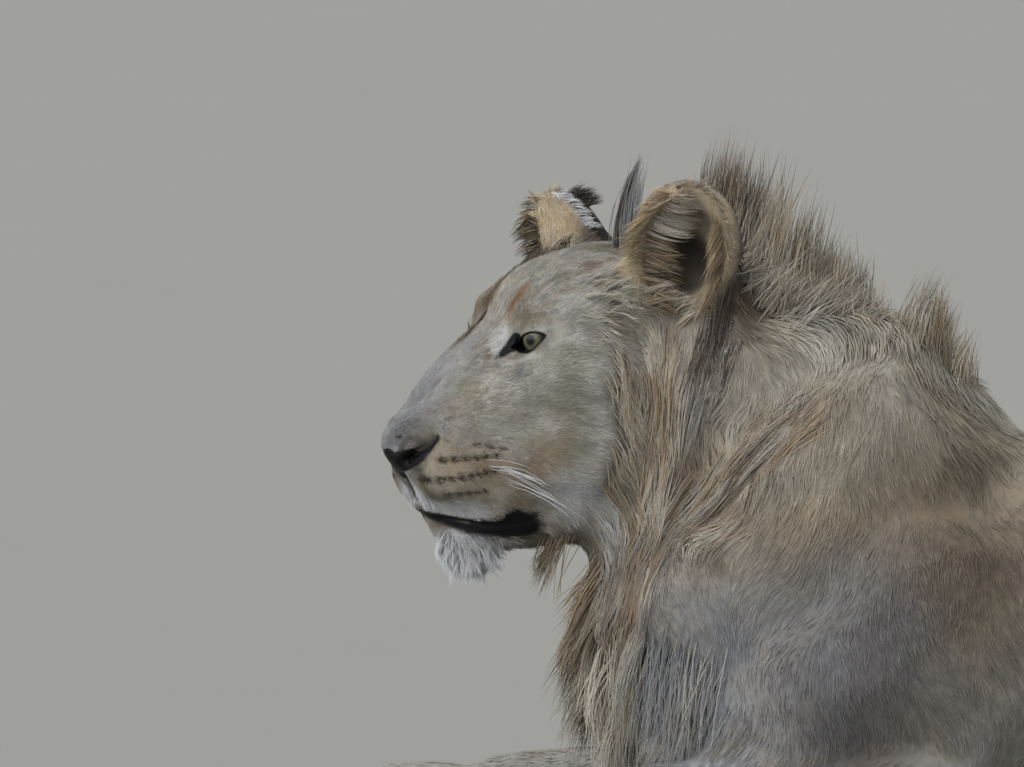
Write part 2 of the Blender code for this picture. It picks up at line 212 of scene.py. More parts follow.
# height of the neck's own ridge under the crest, along the body
ridgeForward = [-0.12, -0.08, -0.06, -0.04, -0.02, 0.0, 0.02, 0.06, 0.1, 0.14, 0.18, 0.22, 0.25, 0.29]
ridgeHeight = [0.362, 0.378, 0.394, 0.412, 0.43, 0.455, 0.47, 0.478, 0.48, 0.486, 0.5, 0.512, 0.526, 0.54]

# the solid that each skin point belongs to sets its coat there: the depth that the skin
# lies in by, the hair's length and width, all in mm, and its rise in degrees
coatOf = {
    "head": (3.0, 9, 1.0, 12), "nose": (0.3, 3, 0.8, 10), "lower_jaw": (3.0, 10, 1.0, 14),
    "left_ear": (1.2, 7, 1.0, 16), "right_ear": (1.2, 7, 1.0, 16),
    "neck": (15, 38, 1.25, 9), "chest": (7, 24, 1.4, 12), "belly": (5, 20, 2.3, 14),
    "rump": (5, 18, 2.2, 13), "left_shoulder": (6, 16, 1.2, 14), "right_shoulder": (6, 18, 1.6, 14),
    "left_thigh": (5, 18, 2.1, 13), "right_thigh": (5, 18, 2.3, 13),
    "left_shank": (4, 14, 1.9, 13), "right_shank": (4, 14, 1.9, 13),
    "left_hind_foot": (3, 10, 1.5, 13), "right_hind_foot": (3, 10, 1.5, 13),
    "left_forearm": (4, 14, 1.4, 13), "right_forearm": (4, 14, 1.4, 13),
    "left_forepaw": (3, 10, 1.3, 13), "right_forepaw": (3, 10, 1.3, 13),
    "tail_base": (4, 14, 1.7, 13), "tail_middle": (4, 14, 1.7, 13), "tail_end": (4, 18, 1.7, 15),
    "tail_tuft": (12, 45, 1.8, 16),
}

# zones in the head's frame, both sides alike: middle and reach, then those numbers
headZones = [
    ((75, 0, -50), (45, 45, 40), (1.6, 4.5, 0.8, 10)),  # bridge of the nose
    ((65, 50, -105), (45, 30, 35), (1.5, 4.5, 0.7, 10)),  # whisker pad
    ((20, 52, 0), (35, 30, 28), (1.6, 4.5, 0.7, 10)),  # round the eye
    ((0, 0, 60), (50, 50, 45), (2.6, 7, 0.9, 12)),  # forehead
    ((75, 0, -150), (45, 45, 14), (1.2, 4, 0.7, 10)),  # lips
    ((55, 0, -190), (40, 34, 28), (6.0, 20, 1.0, 20)),  # beard on the chin
    ((-20, 0, -200), (50, 70, 40), (8.0, 30, 1.5, 18)),  # under the jaw
    ((-80, 105, -60), (30, 40, 110), (9.0, 36, 1.15, 9)),  # cheek ruff
    ((-60, 100, -190), (35, 50, 80), (12.0, 50, 1.3, 10)),  # below the ruff
    ((-110, 0, 90), (30, 45, 30), (4.0, 20, 1.3, 35)),  # crown
]

# zones in the body's frame
bodyZones = [
    ((70, 80, 430), (120, 80, 70), (8.0, 21, 1.1, 16)),  # side of the nape
    ((170, -10, 490), (70, 55, 60), (3.0, 60, 1.3, 52)),  # crest on the nape
    ((80, 0, 450), (70, 50, 50), (3.0, 46, 1.3, 38)),  # nape
    ((0, 0, 420), (60, 40, 60), (4.0, 38, 1.3, 32)),  # withers
    ((270, 50, 220), (80, 120, 120), (20.0, 60, 1.5, 18)),  # throat
    ((230, 20, 100), (80, 130, 80), (14.0, 50, 1.6, 18)),  # breast
]


def joinSolids():
    copies = []
    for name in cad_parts:
        piece = bpy.data.objects.new("lionSkin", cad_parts[name].data.copy())
        scene.collection.objects.link(piece)
        piece.data.materials.clear()
        selectOnly(piece)
        bpy.ops.object.mode_set(mode="EDIT")
        bpy.ops.mesh.select_all(action="SELECT")
        bpy.ops.mesh.remove_doubles(threshold=0.00001)
        bpy.ops.transform.shrink_fatten(value=skinLook["overlap"])
        bpy.ops.object.mode_set(mode="OBJECT")
        copies.append(piece)
    bpy.ops.object.select_all(action="DESELECT")
    for piece in copies:
        piece.select_set(True)
    bpy.context.view_layer.objects.active = copies[0]
    bpy.ops.object.join()
    return copies[0]


def remesh(piece, size):
    applyModifier(piece, "REMESH", mode="VOXEL", voxel_size=size, use_smooth_shade=True)


def lowerStandingHair(points):
    # the solids' crest and crown tuft are hair: the skin runs under them
    body, head = toBody(points), toHead(points)
    middle = np.interp(body[:, 0], [0.1, 0.17, 0.25], [0.0, -0.03, -0.005])
    aside = body[:, 1] - middle
    ridge = np.interp(body[:, 0], ridgeForward, ridgeHeight) - aside ** 2 / 0.35
    wide = np.interp(body[:, 0], [0.1, 0.15, 0.24, 0.27], [0.09, 0.048, 0.046, 0.04])
    inside = ramp(body[:, 0], -0.12, -0.06) * (1 - ramp(body[:, 0], 0.275, 0.3))
    inside = inside * (1 - ramp(np.abs(aside), wide, wide + 0.015))
    inside = inside * (1 - ramp(head[:, 0], -0.07, -0.045))
    points[:, 2] += (np.minimum(points[:, 2], ridge) - points[:, 2]) * inside
    return points, inside


def nearestSolid(points):
    corners, faces, owner = [], [], []
    for number, name in enumerate(flesh):
        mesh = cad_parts[name].data
        first = len(corners)
        corners += [v.co.copy() for v in mesh.vertices]
        faces += [[first + i for i in p.vertices] for p in mesh.polygons]
        owner += [number] * len(mesh.polygons)
    tree = BVHTree.FromPolygons(corners, faces)
    return np.array([owner[tree.find_nearest(Vector(p))[2]] for p in points])


def coatNumbers(points, solids, pairs, rounds):
    table = np.array([coatOf[name] for name in flesh], float)
    numbers = spread(table[solids], pairs, rounds, 0.7)
    head, body = mirrored(toHead(points)), toBody(points)
    onHead = (solids == flesh.index("head")) | (solids == flesh.index("lower_jaw"))
    onHead = spread(onHead.astype(float), pairs, rounds, 0.7)
    for zones, local, most in ((headZones, head, 1.0), (bodyZones, body, 1 - onHead)):
        for centre, reach, values in zones:
            share = (near(local, centre, reach) * most)[:, None]
            numbers = numbers * (1 - share) + np.array(values) * share
    return numbers


# middle of each foot's row of toes, in the body's frame
toeRows = [(423, 155, 40), (523, -140, 36), (-502, 235, 30), (-502, -235, 30)]

toeLook = {
    "gaps": (-0.025, 0.0, 0.025), "toes": (-0.037, -0.013, 0.013, 0.037),  # across the foot
    "gapDepth": 7.0 * mm, "gapWidth": 0.0048, "gapShade": 0.0032, "fan": 2,
    "knuckle": 3.0 * mm, "knuckleLong": 0.014, "knuckleWide": 0.009,
}


def thinBody(piece):
    # fewer faces away from the head, where no small detail is needed
    away = skullShare(readPoints(piece.data), 0.19, 0.26)
    group = piece.vertex_groups.new(name="body")
    for step in range(1, 11):
        group.add(np.nonzero(np.round(away * 10) == step)[0].tolist(), step / 10, "REPLACE")
    applyModifier(piece, "DECIMATE", ratio=skinLook["bodyShare"], vertex_group="body",
                  vertex_group_factor=1.0, use_collapse_triangulate=True)
    piece.vertex_groups.clear()


def refine(piece, centres, reach):
    # splits the faces round these places
    mesh = piece.data
    selectOnly(piece)
    bpy.ops.object.mode_set(mode="EDIT")
    bpy.ops.mesh.select_mode(type="FACE")
    bpy.ops.mesh.select_all(action="DESELECT")
    bpy.ops.object.mode_set(mode="OBJECT")
    points = readPoints(mesh)
    inside = np.zeros(len(points), bool)
    for centre in centres:
        inside |= np.linalg.norm(points - centre, axis=1) < reach
    for face in mesh.polygons:
        face.select = all(inside[i] for i in face.vertices)
    bpy.ops.object.mode_set(mode="EDIT")
    bpy.ops.mesh.subdivide(number_cuts=1, smoothness=0.0)
    bpy.ops.mesh.select_all(action="SELECT")
    bpy.ops.mesh.quads_convert_to_tris()
    bpy.ops.object.mode_set(mode="OBJECT")


skin = joinSolids()
remesh(skin, skinLook["coarse"])
points, lowered = lowerStandingHair(readPoints(skin.data))
points = spread(points, edgePairs(skin.data), 12, 0.15 + 0.6 * lowered)
writePoints(skin.data, points)
remesh(skin, skinLook["coarse"])
print("solids joined, standing hair taken off:", len(skin.data.vertices), "points")

points = readPoints(skin.data)
pairs = edgePairs(skin.data)
numbers = coatNumbers(points, nearestSolid(points), pairs, 10)
depth = numbers[:, 0] * mm * (0.35 + 0.65 * ramp(points[:, 2], 0.0, 0.03))  # the flats stay near the floor
writePoints(skin.data, points - readPoints(skin.data, "normal") * depth[:, None])
remesh(skin, skinLook["fine"])
writePoints(skin.data, spread(readPoints(skin.data), edgePairs(skin.data), 5))
print("skin set in under the coat")

thinBody(skin)
noseTip = toRow([0.1, 0.0, -0.1], "head")
lips = toRow([(0.085, 0.0, -0.14), (0.045, 0.045, -0.15), (0.045, -0.045, -0.15)], "head")
refine(skin, [eyeLeft, eyeRight, noseTip, *lips], 0.04)
refine(skin, [eyeLeft, eyeRight, noseTip], 0.03)
refine(skin, toRow(np.array(toeRows) * mm, "body"), 0.075)


def toeGaps(ahead, aside, wide):
    # 1 along the gaps, which fan out a little towards the toes' tips
    fan = 1 + toeLook["fan"] * ahead
    return sum(np.exp(-((aside - gap * fan) / wide) ** 2) for gap in toeLook["gaps"])


def shapeToes(piece):
    # presses the gaps between the toes of every foot, and rounds each toe
    points, normals = readPoints(piece.data), readPoints(piece.data, "normal")
    body = toBody(points)
    for forward, left, _ in toeRows:
        ahead, aside = body[:, 0] - forward * mm, body[:, 1] - left * mm
        onFoot = ramp(ahead, -0.045, -0.01) * (1 - ramp(np.abs(aside), 0.05, 0.062)) * ramp(body[:, 2], 0.002, 0.016)
        onFoot = onFoot * (1 - ramp(ahead, 0.06, 0.075)) * ramp(normals[:, 2], -0.5, 0.1)
        move = np.zeros(len(points))
        move -= toeLook["gapDepth"] * toeGaps(ahead, aside, toeLook["gapWidth"])
        for toe in toeLook["toes"]:
            knuckle = np.exp(-((ahead + 0.012 + abs(toe) * 0.3) / toeLook["knuckleLong"]) ** 2)
            move += toeLook["knuckle"] * knuckle * np.exp(-((aside - toe) / toeLook["knuckleWide"]) ** 2)
        points = points + normals * (move * onFoot)[:, None]
    writePoints(piece.data, points)


shapeToes(skin)
print("skin has", len(skin.data.polygons), "faces")


# face

eyeLook = {
    "ball": 18.5 * mm, "iris": 10.2 * mm,
    "turn": 29,  # degrees that each eye looks out from straight ahead
    "inner": (-21 * mm, -7 * mm), "outer": (11.5 * mm, 4 * mm),  # corners, from the pupil
    "upper": 6.0 * mm, "lower": -8.0 * mm,  # lid edges above and below it
    "lid": 2.0 * mm,  # how thick the lids are over the ball
    "lidThins": (0.003, 0.014), "lidSlope": (-0.001, 0.007), "slit": (-0.0006, 0.0012),  # outside the lids' edge
    "sunk": 0.0035,  # how deep the skin lies under the ball's surface
    "socket": 0.034, "cornea": 1.3 * mm,
}

# grooves pressed in the face: path in the head's frame, radius and depth in mm
grooves = [
    ([(104, 0, -112), (96, 0, -130), (90, 0, -145)], 2.6, 2.6),  # under the nose
    ([(91, 0, -147), (88, 8, -148), (80, 20, -150), (58, 33, -154),
      (36, 44, -156), (20, 52, -154), (8, 57, -149)], 3.0, 4.5),  # between the lips
    ([(108, 17, -98), (104, 27, -91), (93, 34, -80)], 3.6, 6.5),  # nostril
    ([(111, 13, -101), (109, 19, -98)], 4.5, 5.0),  # its mouth
]

# low swellings: middle, reach and height in mm
swellings = [
    ((68, 50, -118), (36, 26, 24), 2.4),  # whisker pad
    ((60, 36, -166), (34, 20, 9), 1.6),  # lower lip
    ((12, 40, 26), (26, 22, 10), 2.6),  # brow over the eye
    ((108, 0, -70), (32, 34, 26), 3.6),  # end of the nose over its leather
    ((50, 0, -200), (30, 26, 20), 2.0),  # chin
    ((98, 14, -134), (18, 20, 14), 2.6),  # front of the upper lip
    ((10, 0, 52), (40, 30, 26), 3.0),  # forehead
]


def eyeAxes(side):
    turn = math.radians(eyeLook["turn"])
    gaze = headFront * math.cos(turn) + headSide * side * math.sin(turn)
    outward = -headFront * math.sin(turn) + headSide * side * math.cos(turn)
    return gaze, outward


def eyeView(points, centre, side):
    # how far across, above and in front of the eyeball's middle
    gaze, outward = eyeAxes(side)
    rel = points - centre
    return rel @ outward, rel @ up, rel @ gaze


def lidEdges(across):
    # the almond of the lids: its upper and lower edge at this place across the eye
    (x0, z0), (x1, z1) = eyeLook["inner"], eyeLook["outer"]
    t = np.clip((across - x0) / (x1 - x0), 0, 1)
    line = z0 + (z1 - z0) * t
    bow = np.sin(np.pi * t ** 1.15) ** 0.75
    middle = z0 + (z1 - z0) * ((0 - x0) / (x1 - x0))
    return line + bow * (eyeLook["upper"] - middle), line + bow * (eyeLook["lower"] - middle)


def outsideLids(across, high):
    # distance outside the almond's edge, negative inside
    xs = np.linspace(eyeLook["inner"][0], eyeLook["outer"][0], 40)
    top, bottom = lidEdges(xs)
    loop = np.concatenate([np.stack([xs, top], 1), np.stack([xs, bottom], 1)[::-1]])
    away, _ = pathDistance(np.stack([across, high], 1), np.concatenate([loop, loop[:1]]) / mm)
    here, there = lidEdges(across)
    inside = (across > xs[0]) & (across < xs[-1]) & (high < here) & (high > there)
    return np.where(inside, -away, away)


def shapeEye(points, centre, side):
    gaze, _ = eyeAxes(side)
    across, high, forward = eyeView(points, centre, side)
    ball = eyeLook["ball"]
    wide = np.hypot(across, high)
    surface = np.sqrt(np.maximum(ball ** 2 - wide ** 2, 0.0))  # how far forward the eyeball reaches
    away = outsideLids(across, high)
    lidTop = surface + eyeLook["lid"] * (1 - 0.5 * ramp(away, *eyeLook["lidThins"]))
    # lids cover the ball, and are no thicker at their edge than a lid is
    raised = np.maximum(forward, lidTop)
    raised = lidTop + (raised - lidTop) * ramp(away, *eyeLook["lidSlope"])
    cover = 1 - ramp(wide, ball * 0.9, ball * 1.06)
    new = forward + (raised - forward) * cover
    slit = ramp(-away, *eyeLook["slit"])
    sunk = np.minimum(new, surface - eyeLook["sunk"]) * slit + new * (1 - slit)
    new = np.where(away < 0.001, sunk, new)
    shift = np.where((forward > -0.002) & (wide < eyeLook["socket"]), new - forward, 0)
    return points + gaze * shift[:, None]


def shapeFace(piece):
    mesh = piece.data
    points, normals = readPoints(mesh), readPoints(mesh, "normal")
    local = mirrored(toHead(points))
    move = np.zeros(len(points))
    for path, radius, deep in grooves:
        away, along = pathDistance(local, path)
        ends = 0.45 + 0.55 * np.sin(np.pi * np.clip(along, 0.04, 0.96)) ** 0.5
        move -= deep * mm * ends * np.exp(-(away / (radius * mm)) ** 2)
    for centre, reach, high in swellings:
        rel = np.linalg.norm((local / mm - centre) / reach, axis=1)
        move += high * mm * np.exp(-rel ** 2 * 1.6)
    points = points + normals * move[:, None]
    for centre, side in eyes:
        points = shapeEye(points, centre, side)
    # the rim of the socket melts into the face, up to the lids
    pairs = edgePairs(mesh)
    for centre, side in eyes:
        across, high, forward = eyeView(points, centre, side)
        share = ramp(outsideLids(across, high), 0.0025, 0.006)
        share = share * (1 - ramp(np.hypot(across, high), 0.025, eyeLook["socket"]))
        share = (share * ramp(forward, -0.012, -0.004))[:, None]
        for _ in range(4):
            points = points * (1 - share) + spread(points, pairs, 8, 0.7) * share
    writePoints(mesh, points)


shapeFace(skin)
selectOnly(skin)
bpy.ops.object.shade_smooth()
print("face shaped")


# markings, worn alike by the skin and the coat over it

coatColours = {
    "grey": "#a39f94", "pale": "#bab6aa", "sand": "#a69b87", "ochre": "#9e8767", "brown": "#7a6a55",
    "dark": "#453b32", "white": "#d8d9d8", "black": "#0e0d0f", "flank": "#868788", "ash": "#8e9093", "gold": "#bfa983",
    "cream": "#c4bba6", "rust": "#80684a", "olive": "#85806a", "tawny": "#9f8d72", "slate": "#6c6c6e",
}
colour = {name: toLinear(value) for name, value in coatColours.items()}

# broad washes in the body's frame: middle, reach, colour and strength
bodyWashes = [
    ((0, 0, 420), (300, 110, 140), "sand", 0.5),  # back of the neck and withers
    ((120, 0, 500), (140, 100, 80), "brown", 0.15),
    ((50, 60, 440), (140, 80, 50), "pale", 0.6),
    ((80, -10, 480), (120, 50, 50), "cream", 0.6),  # behind the crest
    ((160, 120, 330), (120, 120, 130), "brown", 0.42),  # side of the neck
    ((-300, 0, 380), (500, 70, 100), "sand", 0.6),  # along the back
    ((100, 140, 380), (120, 100, 70), "pale", 0.45),
    ((200, 120, 300), (90, 100, 80), "sand", 0.5),
    ((260, 60, 240), (90, 120, 140), "sand", 0.55),  # throat
    ((230, 90, 250), (50, 70, 90), "brown", 0.5),
    ((220, 20, 120), (100, 120, 70), "pale", 0.5),
    ((-20, 150, 330), (90, 100, 90), "brown", 0.6),  # shoulder blade
    ((-80, 170, 270), (60, 120, 100), "dark", 0.6),  # darker hair and painted shade in the hollow behind the shoulder
    ((-20, 200, 210), (60, 100, 80), "brown", 0.35),
    # bluish grey low on the shoulder: partly painted shade, tinted like sky-lit shadow
    ((100, 180, 170), (120, 100, 80), "ash", 0.8),
    ((-450, 0, 300), (400, 300, 200), "tawny", 0.55),  # back, ribs and thighs
    ((-450, 0, 60), (450, 300, 100), "pale", 0.55),  # belly
    ((300, 150, 50), (400, 120, 60), "white", 0.45),  # forelegs
    ((300, -150, 50), (450, 120, 60), "pale", 0.75),
]

# marks on both sides of the body: path, radius in mm, softness, colour, strength
bodyMarks = [
    # band down behind the shoulder: darker hair and painted shade of the hollow there
    ([(-37, 179, 254), (-15, 190, 212), (3, 201, 172), (17, 207, 120)], 42, 0.95, "dark", 0.8),
    ([(-87, 161, 285), (-30, 165, 300)], 44, 0.9, "brown", 0.6),
    ([(65, 111, 411), (132, 114, 353), (180, 105, 310)], 46, 0.9, "brown", 0.38),
    # bluish grey low on the neck and shoulder: partly painted sky-lit shade
    ([(200, 120, 270), (150, 160, 230)], 40, 0.9, "ash", 0.45),
    ([(19, 159, 277), (46, 158, 249), (64, 182, 215)], 42, 0.9, "slate", 0.5),
    ([(7, 138, 332), (-51, 95, 346)], 34, 0.9, "brown", 0.4),
    # painted shade at the top of the hollow behind the shoulder
    ([(-60, 163, 272), (-100, 150, 285)], 32, 0.9, "dark", 0.4),
    ([(185, 105, 325), (95, 135, 310)], 38, 0.9, "brown", 0.5),
    # darker bluish grey low on the shoulder: partly painted shade
    ([(-10, 190, 225), (20, 195, 190)], 40, 0.9, "slate", 0.55),
    ([(240, 97, 285), (252, 104, 215)], 26, 0.8, "rust", 0.6),
]

# marks on both sides of the head: path, radius in mm, softness, colour, strength
headMarks = [
    ([(60, 0, -20), (0, 0, 55)], 34, 0.6, "pale", 0.35),  # forehead
    ([(120, 0, -75), (50, 0, -30)], 26, 0.6, "ash", 0.7),  # bridge
    ([(-20, 90, 0), (-30, 98, -80), (30, 70, -90)], 46, 0.8, "pale", 0.65),
    ([(-40, 90, 20), (-60, 100, -60)], 34, 0.7, "pale", 0.6),  # temple and cheek
    ([(-56, 85, 32), (-72, 100, -20)], 18, 0.7, "cream", 0.5),
    ([(10, 80, -50), (-30, 95, -100)], 30, 0.8, "pale", 0.4),
    ([(18, 80, -98), (4, 82, -85)], 15, 0.8, "ochre", 0.62),  # cheek's warm patch
    ([(26, 72, -104), (20, 72, -120)], 8, 0.8, "rust", 0.6),
    ([(-4, 87, -10), (-2, 90, -50), (-4, 91, -85)], 12, 0.9, "olive", 0.65),  # under the eye's corner, partly painted shade down the cheekbone
    ([(64, 35, -36), (66, 46, -52)], 7, 0.9, "olive", 0.7),
    ([(80, 30, -50), (79, 37, -62)], 6, 0.9, "brown", 0.45),
    ([(30, 62, -60), (20, 75, -80)], 9, 0.9, "olive", 0.5),
    ([(-24, 91, -6), (-40, 95, -10), (-59, 96, -24)], 5, 0.9, "olive", 0.6),
    ([(85, 40, -108), (45, 60, -115)], 20, 0.6, "sand", 0.6),  # whisker pad
    ([(80, 45, -100), (50, 60, -105)], 14, 0.8, "ochre", 0.5),
    ([(30, 60, -132), (22, 60, -136)], 9, 0.6, "brown", 0.65),  # over the lips' corner
    ([(-8, 80, -128), (-34, 90, -148)], 20, 0.8, "white", 0.65),  # pale fan behind the lips
    ([(-62, 100, 0), (-50, 105, -80), (-35, 100, -180)], 9, 0.8, "pale", 0.55),
    ([(-85, 110, 0), (-82, 110, -80), (-62, 110, -200)], 20, 0.6, "ochre", 0.5),
    ([(-92, 120, -100), (-66, 115, -200), (-50, 100, -260)], 22, 0.7, "brown", 0.85),
    ([(-152, 106, 60), (-150, 107, 31), (-133, 119, -1), (-118, 122, -27),
      (-103, 125, -52), (-92, 122, -88)], 11, 0.8, "dark", 0.8),  # painted shadow behind the ear
    ([(-62, 88, -160), (-57, 85, -185), (-50, 80, -220)], 18, 0.8, "dark", 0.5),
    ([(99, 0, -125), (90, 20, -138), (60, 40, -142)], 11, 0.7, "white", 0.9),  # lip
    ([(60, 0, -190), (30, 0, -200)], 36, 0.4, "white", 1.0),  # chin
    ([(60, 30, -175), (30, 45, -185)], 16, 0.5, "white", 1.0),
    ([(28, 26, 5), (34, 30, -8)], 7, 0.7, "white", 0.5),  # before the eye
    ([(32, 44, -22), (22, 54, -21), (13, 62, -15)], 4.5, 0.7, "white", 0.65),  # under the eye
    ([(16, 22, 22), (9, 25, 42)], 8, 0.8, "rust", 1.0),  # brow spot
    ([(14, 45, 20), (10, 55, 18)], 7, 0.6, "brown", 0.55),
    ([(-10, 70, 20), (-30, 80, 30)], 12, 0.6, "grey", 0.4),
    ([(-68, 75, 60), (-82, 66, 92)], 18, 0.6, "gold", 0.75),  # before the ear
    ([(-60, 85, 50), (-75, 100, 15)], 14, 0.7, "sand", 0.6),
    ([(-120, 118, 40), (-130, 134, 85), (-125, 133, 120), (-106, 118, 140),
      (-86, 102, 125)], 11, 0.6, "gold", 0.65),  # ear rim
    ([(-92, 84, 108), (-104, 76, 96)], 11, 0.6, "black", 0.8),  # patch on the ear's back
    ([(-62, 85, 70), (-68, 94, 104)], 12, 0.6, "gold", 0.8),
    ([(-74, 88, 100), (-76, 76, 84)], 9, 0.9, "brown", 0.6),
    ([(-82, 94, 112), (-88, 74, 94), (-96, 60, 80)], 4.5, 0.6, "white", 0.9),
]

# black skin: path, radius in mm at its start and its end
blackSkin = [
    ([(92, 2, -145), (80, 21, -150), (58, 34, -155)], 5.4, 5.4),
    ([(58, 34, -155), (40, 43, -158), (30, 49, -159)], 5.4, 10.0),  # lower lip
    ([(27, 52, -157), (19, 57, -159)], 15.5, 15.5),  # corner
    ([(101, 0, -118), (95, 0, -134), (92, 0, -146)], 2.2, 2.2),
]

# nose leather: path and radii
noseLeather = [
    ([(119, 0, -101), (110, 0, -115)], 11.5, 9.5),
    ([(115, 10, -102), (104, 27, -94), (90, 35, -79)], 10, 3.5),
]

# rows of dark spots where the whiskers grow: first and last spot, seen from the side, how many, radius in mm
whiskerRows = [
    ((66, -84), (46, -87), 3, 2.4),
    ((90, -97), (50, -93), 6, 2.9),
    ((99, -114), (50, -106), 8, 3.0),
    ((86, -126), (56, -123), 5, 2.4),
]

# soft brown lines and specks of the face, much of it painted shade under the brow, at the eye's outer corner and
# behind the whisker pad: path, radius in mm, strength
faceShades = [
    ([(24, 30, 18), (14, 46, 20), (0, 62, 16)], 3.5, 0.6),  # painted shade under the brow
    ([(60, 36, -28), (52, 46, -60), (40, 60, -85)], 5.0, 0.35),  # before the cheek
    ([(34, 66, -90), (30, 66, -115), (26, 62, -135)], 4.0, 0.45),  # painted shadow behind the pad
    ([(4, 68, -14), (-10, 78, -12)], 4.0, 0.45),  # painted shade at the outer corner of the eye
    ([(6, 66, -28), (-8, 76, -34)], 3.0, 0.45),
    ([(-10, 75, 18), (-30, 85, 6), (-40, 92, -20)], 5.0, 0.3),
    ([(94, 36, -86), (80, 46, -76)], 4.0, 0.3),
]

# mottling: where, colour, strength, size in mm, seed, least noise that shows; "light" is the change of brightness
mottling = [
    ("back", "tawny", 2.4, 45, 16, 0.5), ("body", "olive", 2.0, 17, 17, 0.55), ("all", "light", 0, 0, 0, 0),
    ("all", "sand", 0.9, 22, 4, 0.42), ("all", "brown", 1.2, 10, 8, 0.58), ("head", "brown", 3.4, 4, 11, 0.63),
    ("head", "olive", 2.2, 19, 14, 0.46), ("head", "brown", 2.4, 7.5, 15, 0.58), ("head", "slate", 2.6, 5.5, 18, 0.6),
]

# dark specks above the muzzle
oddSpots = [(86, 28, -50), (83, 36, -64), (77, 43, -61), (79, 38, -56)]

# painted shadow of the far brow: a dark line down the far side of the forehead
farBrowShadow = [(50, -10, -6), (30, -18, 14), (16, -28, 27), (4, -27, 43),
          (-10, -18, 54), (-22, -7, 66), (-50, -6, 84)]

# the tail's tuft, in the body's frame
tuftCorners = toBody(np.array(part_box("tail_tuft"))) / mm
tuftMiddle, tuftReach = tuftCorners.mean(axis=0), np.abs(tuftCorners[1] - tuftCorners[0]) / 2


def hashNoise(points, size, seed):
    # smooth noise, 0 to 1, with features of this size in mm
    cell = points / (size * mm) + seed * 17.31
    base = np.floor(cell)
    t = cell - base
    t = t * t * (3 - 2 * t)
    total = np.zeros(len(points))
    for corner in range(8):
        step = np.array([corner & 1, corner >> 1 & 1, corner >> 2 & 1], float)
        at = base + step
        value = np.sin(at @ np.array([127.1, 311.7, 74.7]) + seed * 3.7) * 43758.5453
        weight = np.prod(np.where(step > 0, t, 1 - t), axis=1)
        total += (value - np.floor(value)) * weight
    return total


def towards(base, name, share):
    return base + (colour[name] - base) * np.clip(share, 0, 1)[:, None]


def earOpening(degrees, side):
    # which way an ear faces, in the head's frame
    return np.array([math.cos(math.radians(degrees)), side * math.sin(math.radians(degrees)), 0.0])


def eyeSurround(points):
    # how far a point is outside the lids' almond, and along and across it, for its own side's eye
    best = np.full(len(points), 1.0)
    wedge = np.full(len(points), 1.0)
    for centre, side in eyes:
        across, high, forward = eyeView(points, centre, side)
        here = (np.abs(across) < 0.05) & (np.abs(high) < 0.04) & (forward > -0.012)
        away = np.where(here, outsideLids(across, high), 1.0)
        best = np.minimum(best, away)
        tear, along = pathDistance(np.stack([across, high], 1), [(-18, -2), (-29, -15)])
        wedge = np.minimum(wedge, np.where(here, tear + 5.0 * mm * along, 1.0))
    return best, wedge


